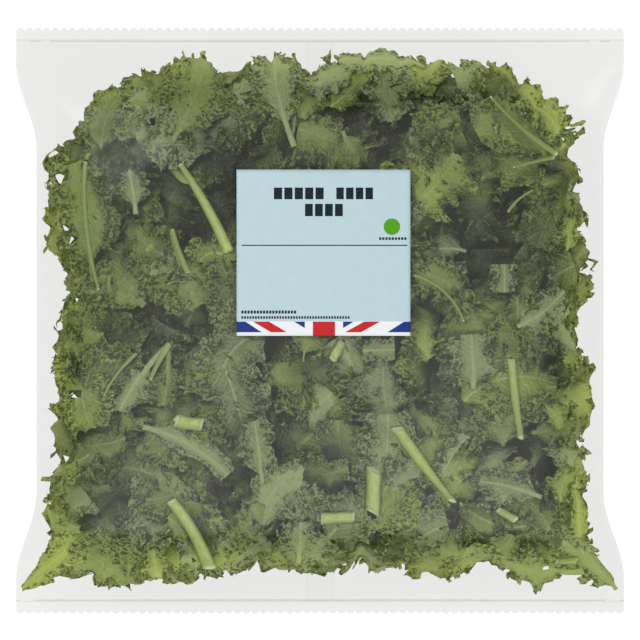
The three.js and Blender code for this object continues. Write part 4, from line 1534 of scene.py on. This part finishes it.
def every(*masks):
    product = masks[0]
    for mask in masks[1:]:
        product = math_node(tree, "MULTIPLY", product, mask)
    return product


def block(left, low, right, high):
    return every(beyond(1, 0, left), beyond(-1, 0, -right), beyond(0, 1, low), beyond(0, -1, -high))


def letters(left, low, right, high, count, gap=0.5):
    """A block parted by even gaps, like a word whose letters can't be told."""
    pitch = (right - left) / count
    run = math_node(tree, "PINGPONG", math_node(tree, "SUBTRACT", across_label, left), pitch / 2)
    return every(block(left, low, right, high), math_node(tree, "GREATER_THAN", run, gap))


# %% Paper, and bars where the wording is
sheet_colour = mix_node(
    tree, span_node(tree, noise_node(tree, where.outputs[0], 2.0), 0.3, 0.7),
    colour(0.475, 0.63, 0.67), colour(0.5, 0.65, 0.685),
)
INK = colour(0.008, 0.017, 0.022)
NAVY = colour(0.017, 0.038, 0.22)
RED = colour(0.55, 0.022, 0.025)
wording = [
    letters(-23.3, 24.6, 0.6, 30.0, 5),
    letters(5.4, 24.6, 23.3, 30.0, 4),
    letters(-9.0, 16.8, 9.4, 22.5, 4),
    letters(25.4, 5.9, 38.4, 7.1, 9, 0.2),
    letters(-38.0, -28.0, -12.4, -26.6, 18, 0.2),
    letters(-38.0, -30.4, 12.2, -29.2, 40, 0.2),
    block(-37.7, 3.15, 38.6, 3.65),
]
for bar in wording:
    sheet_colour = mix_node(tree, bar, sheet_colour, INK)
print("bars for", len(wording), "lines and words")

# %% The band at the foot
sheet_colour = mix_node(tree, beyond(0, -1, 31.6), sheet_colour, colour(0.82, 0.85, 0.86))
row = every(beyond(0, -1, 31.7), beyond(0, 1, -36.6))
navy_blocks = [
    beyond(-1, -1.524, 84.2),
    beyond(1, -1.58, 87.2),
    every(beyond(1, 1.667, -66.4), beyond(-1, 0, 8.6)),
    every(beyond(1, 0, 9.0), beyond(-1, 1.667, -66.8)),
]
red_blocks = [
    every(beyond(1, 1.684, -85.8), beyond(-1, -1.684, 78.4)),
    every(beyond(1, -1.79, 75.4), beyond(-1, 1.79, -82.8)),
]
for shape in navy_blocks:
    sheet_colour = mix_node(tree, every(row, shape), sheet_colour, NAVY)
for shape in red_blocks:
    sheet_colour = mix_node(tree, every(row, shape), sheet_colour, RED)
middle = every(beyond(0, -1, 31.7), beyond(1, 0, -4.9), beyond(-1, 0, -5.3))
sheet_colour = mix_node(tree, middle, sheet_colour, RED)

# %% The disc, and the end of the finish
DISC = (31.5, 12.0, 3.8)  # middle and radius in mm
off_x = math_node(tree, "SUBTRACT", across_label, DISC[0])
off_y = math_node(tree, "SUBTRACT", up_label, DISC[1])
square_sum = math_node(tree, "MULTIPLY_ADD", off_x, off_x, math_node(tree, "MULTIPLY", off_y, off_y))
disc = math_node(tree, "LESS_THAN", square_sum, DISC[2] ** 2)
sheet_colour = mix_node(tree, disc, sheet_colour, colour(0.08, 0.35, 0.01))
tree.links.new(sheet_colour, shader.inputs["Base Color"])
shader.inputs["Roughness"].default_value = 0.45
shader.inputs["Specular IOR Level"].default_value = 0.2
label.data.materials.append(paper)
print("label print uses", len(tree.nodes), "nodes")

# %% [markdown]
# ## The camera and the light
#
# The bag was photographed from straight above with a long lens, on a white surface with no
# shadow. A long lens far away keeps the bag's sides from showing. The floor is white and
# gives out a little light of its own, so no shadow falls on it and it lights the bag's rim.

# %% Camera
SENSOR = 36
AWAY = 8.0  # metres above the floor
SEEN = 0.296  # metres that the picture spans, at 20 mm above the floor
camera = in_scene("camera", bpy.data.cameras.new("camera"))
camera.location = (0, 0.00035, AWAY)
camera.data.sensor_width = SENSOR
camera.data.lens = SENSOR * (AWAY - 0.02) / SEEN
bpy.context.scene.camera = camera
bpy.context.scene.view_settings.view_transform = "Standard"
print("camera at", list(camera.location), "lens", round(camera.data.lens, 1))

# %% Lights
world = bpy.data.worlds.new("studio")
bpy.context.scene.world = world
world.use_nodes = True
world.node_tree.nodes["Background"].inputs["Color"].default_value = colour(1, 1, 1)
world.node_tree.nodes["Background"].inputs["Strength"].default_value = 0.4


def soft_light(name, place, size, power):
    light = in_scene(name, bpy.data.lights.new(name, "AREA"))
    light.data.size = size
    light.data.energy = power
    light.location = place
    light.rotation_euler = (-Vector(place)).to_track_quat("-Z", "Y").to_euler()


soft_light("key", (-0.95, 0.7, 1.35), 0.6, 16.5)
soft_light("fill", (1.1, -1.3, 1.2), 0.9, 21)
print("lights:", [light.name for light in bpy.data.lights])

# %% Floor
mesh = grid_mesh("floor", 1, 1, size=3)
floor = in_scene("floor", mesh)
white = bpy.data.materials.new("white_floor")
white.use_nodes = True
shader = white.node_tree.nodes["Principled BSDF"]
shader.inputs["Base Color"].default_value = colour(0.12, 0.12, 0.12)
shader.inputs["Roughness"].default_value = 1.0
shader.inputs["Emission Color"].default_value = colour(1, 1, 1)
shader.inputs["Emission Strength"].default_value = 0.92
mesh.materials.append(white)
floor.location.z = -0.0005
floor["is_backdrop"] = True
print("floor of", [round(v) for v in floor.dimensions], "metres")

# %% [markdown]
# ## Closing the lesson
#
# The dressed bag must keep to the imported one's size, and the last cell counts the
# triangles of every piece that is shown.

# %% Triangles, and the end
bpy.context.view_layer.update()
depsgraph = bpy.context.evaluated_depsgraph_get()
triangles = 0
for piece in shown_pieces():
    finished = piece.evaluated_get(depsgraph).to_mesh()
    triangles += sum(len(face.vertices) - 2 for face in finished.polygons)
print("the pieces have", triangles, "triangles in all")
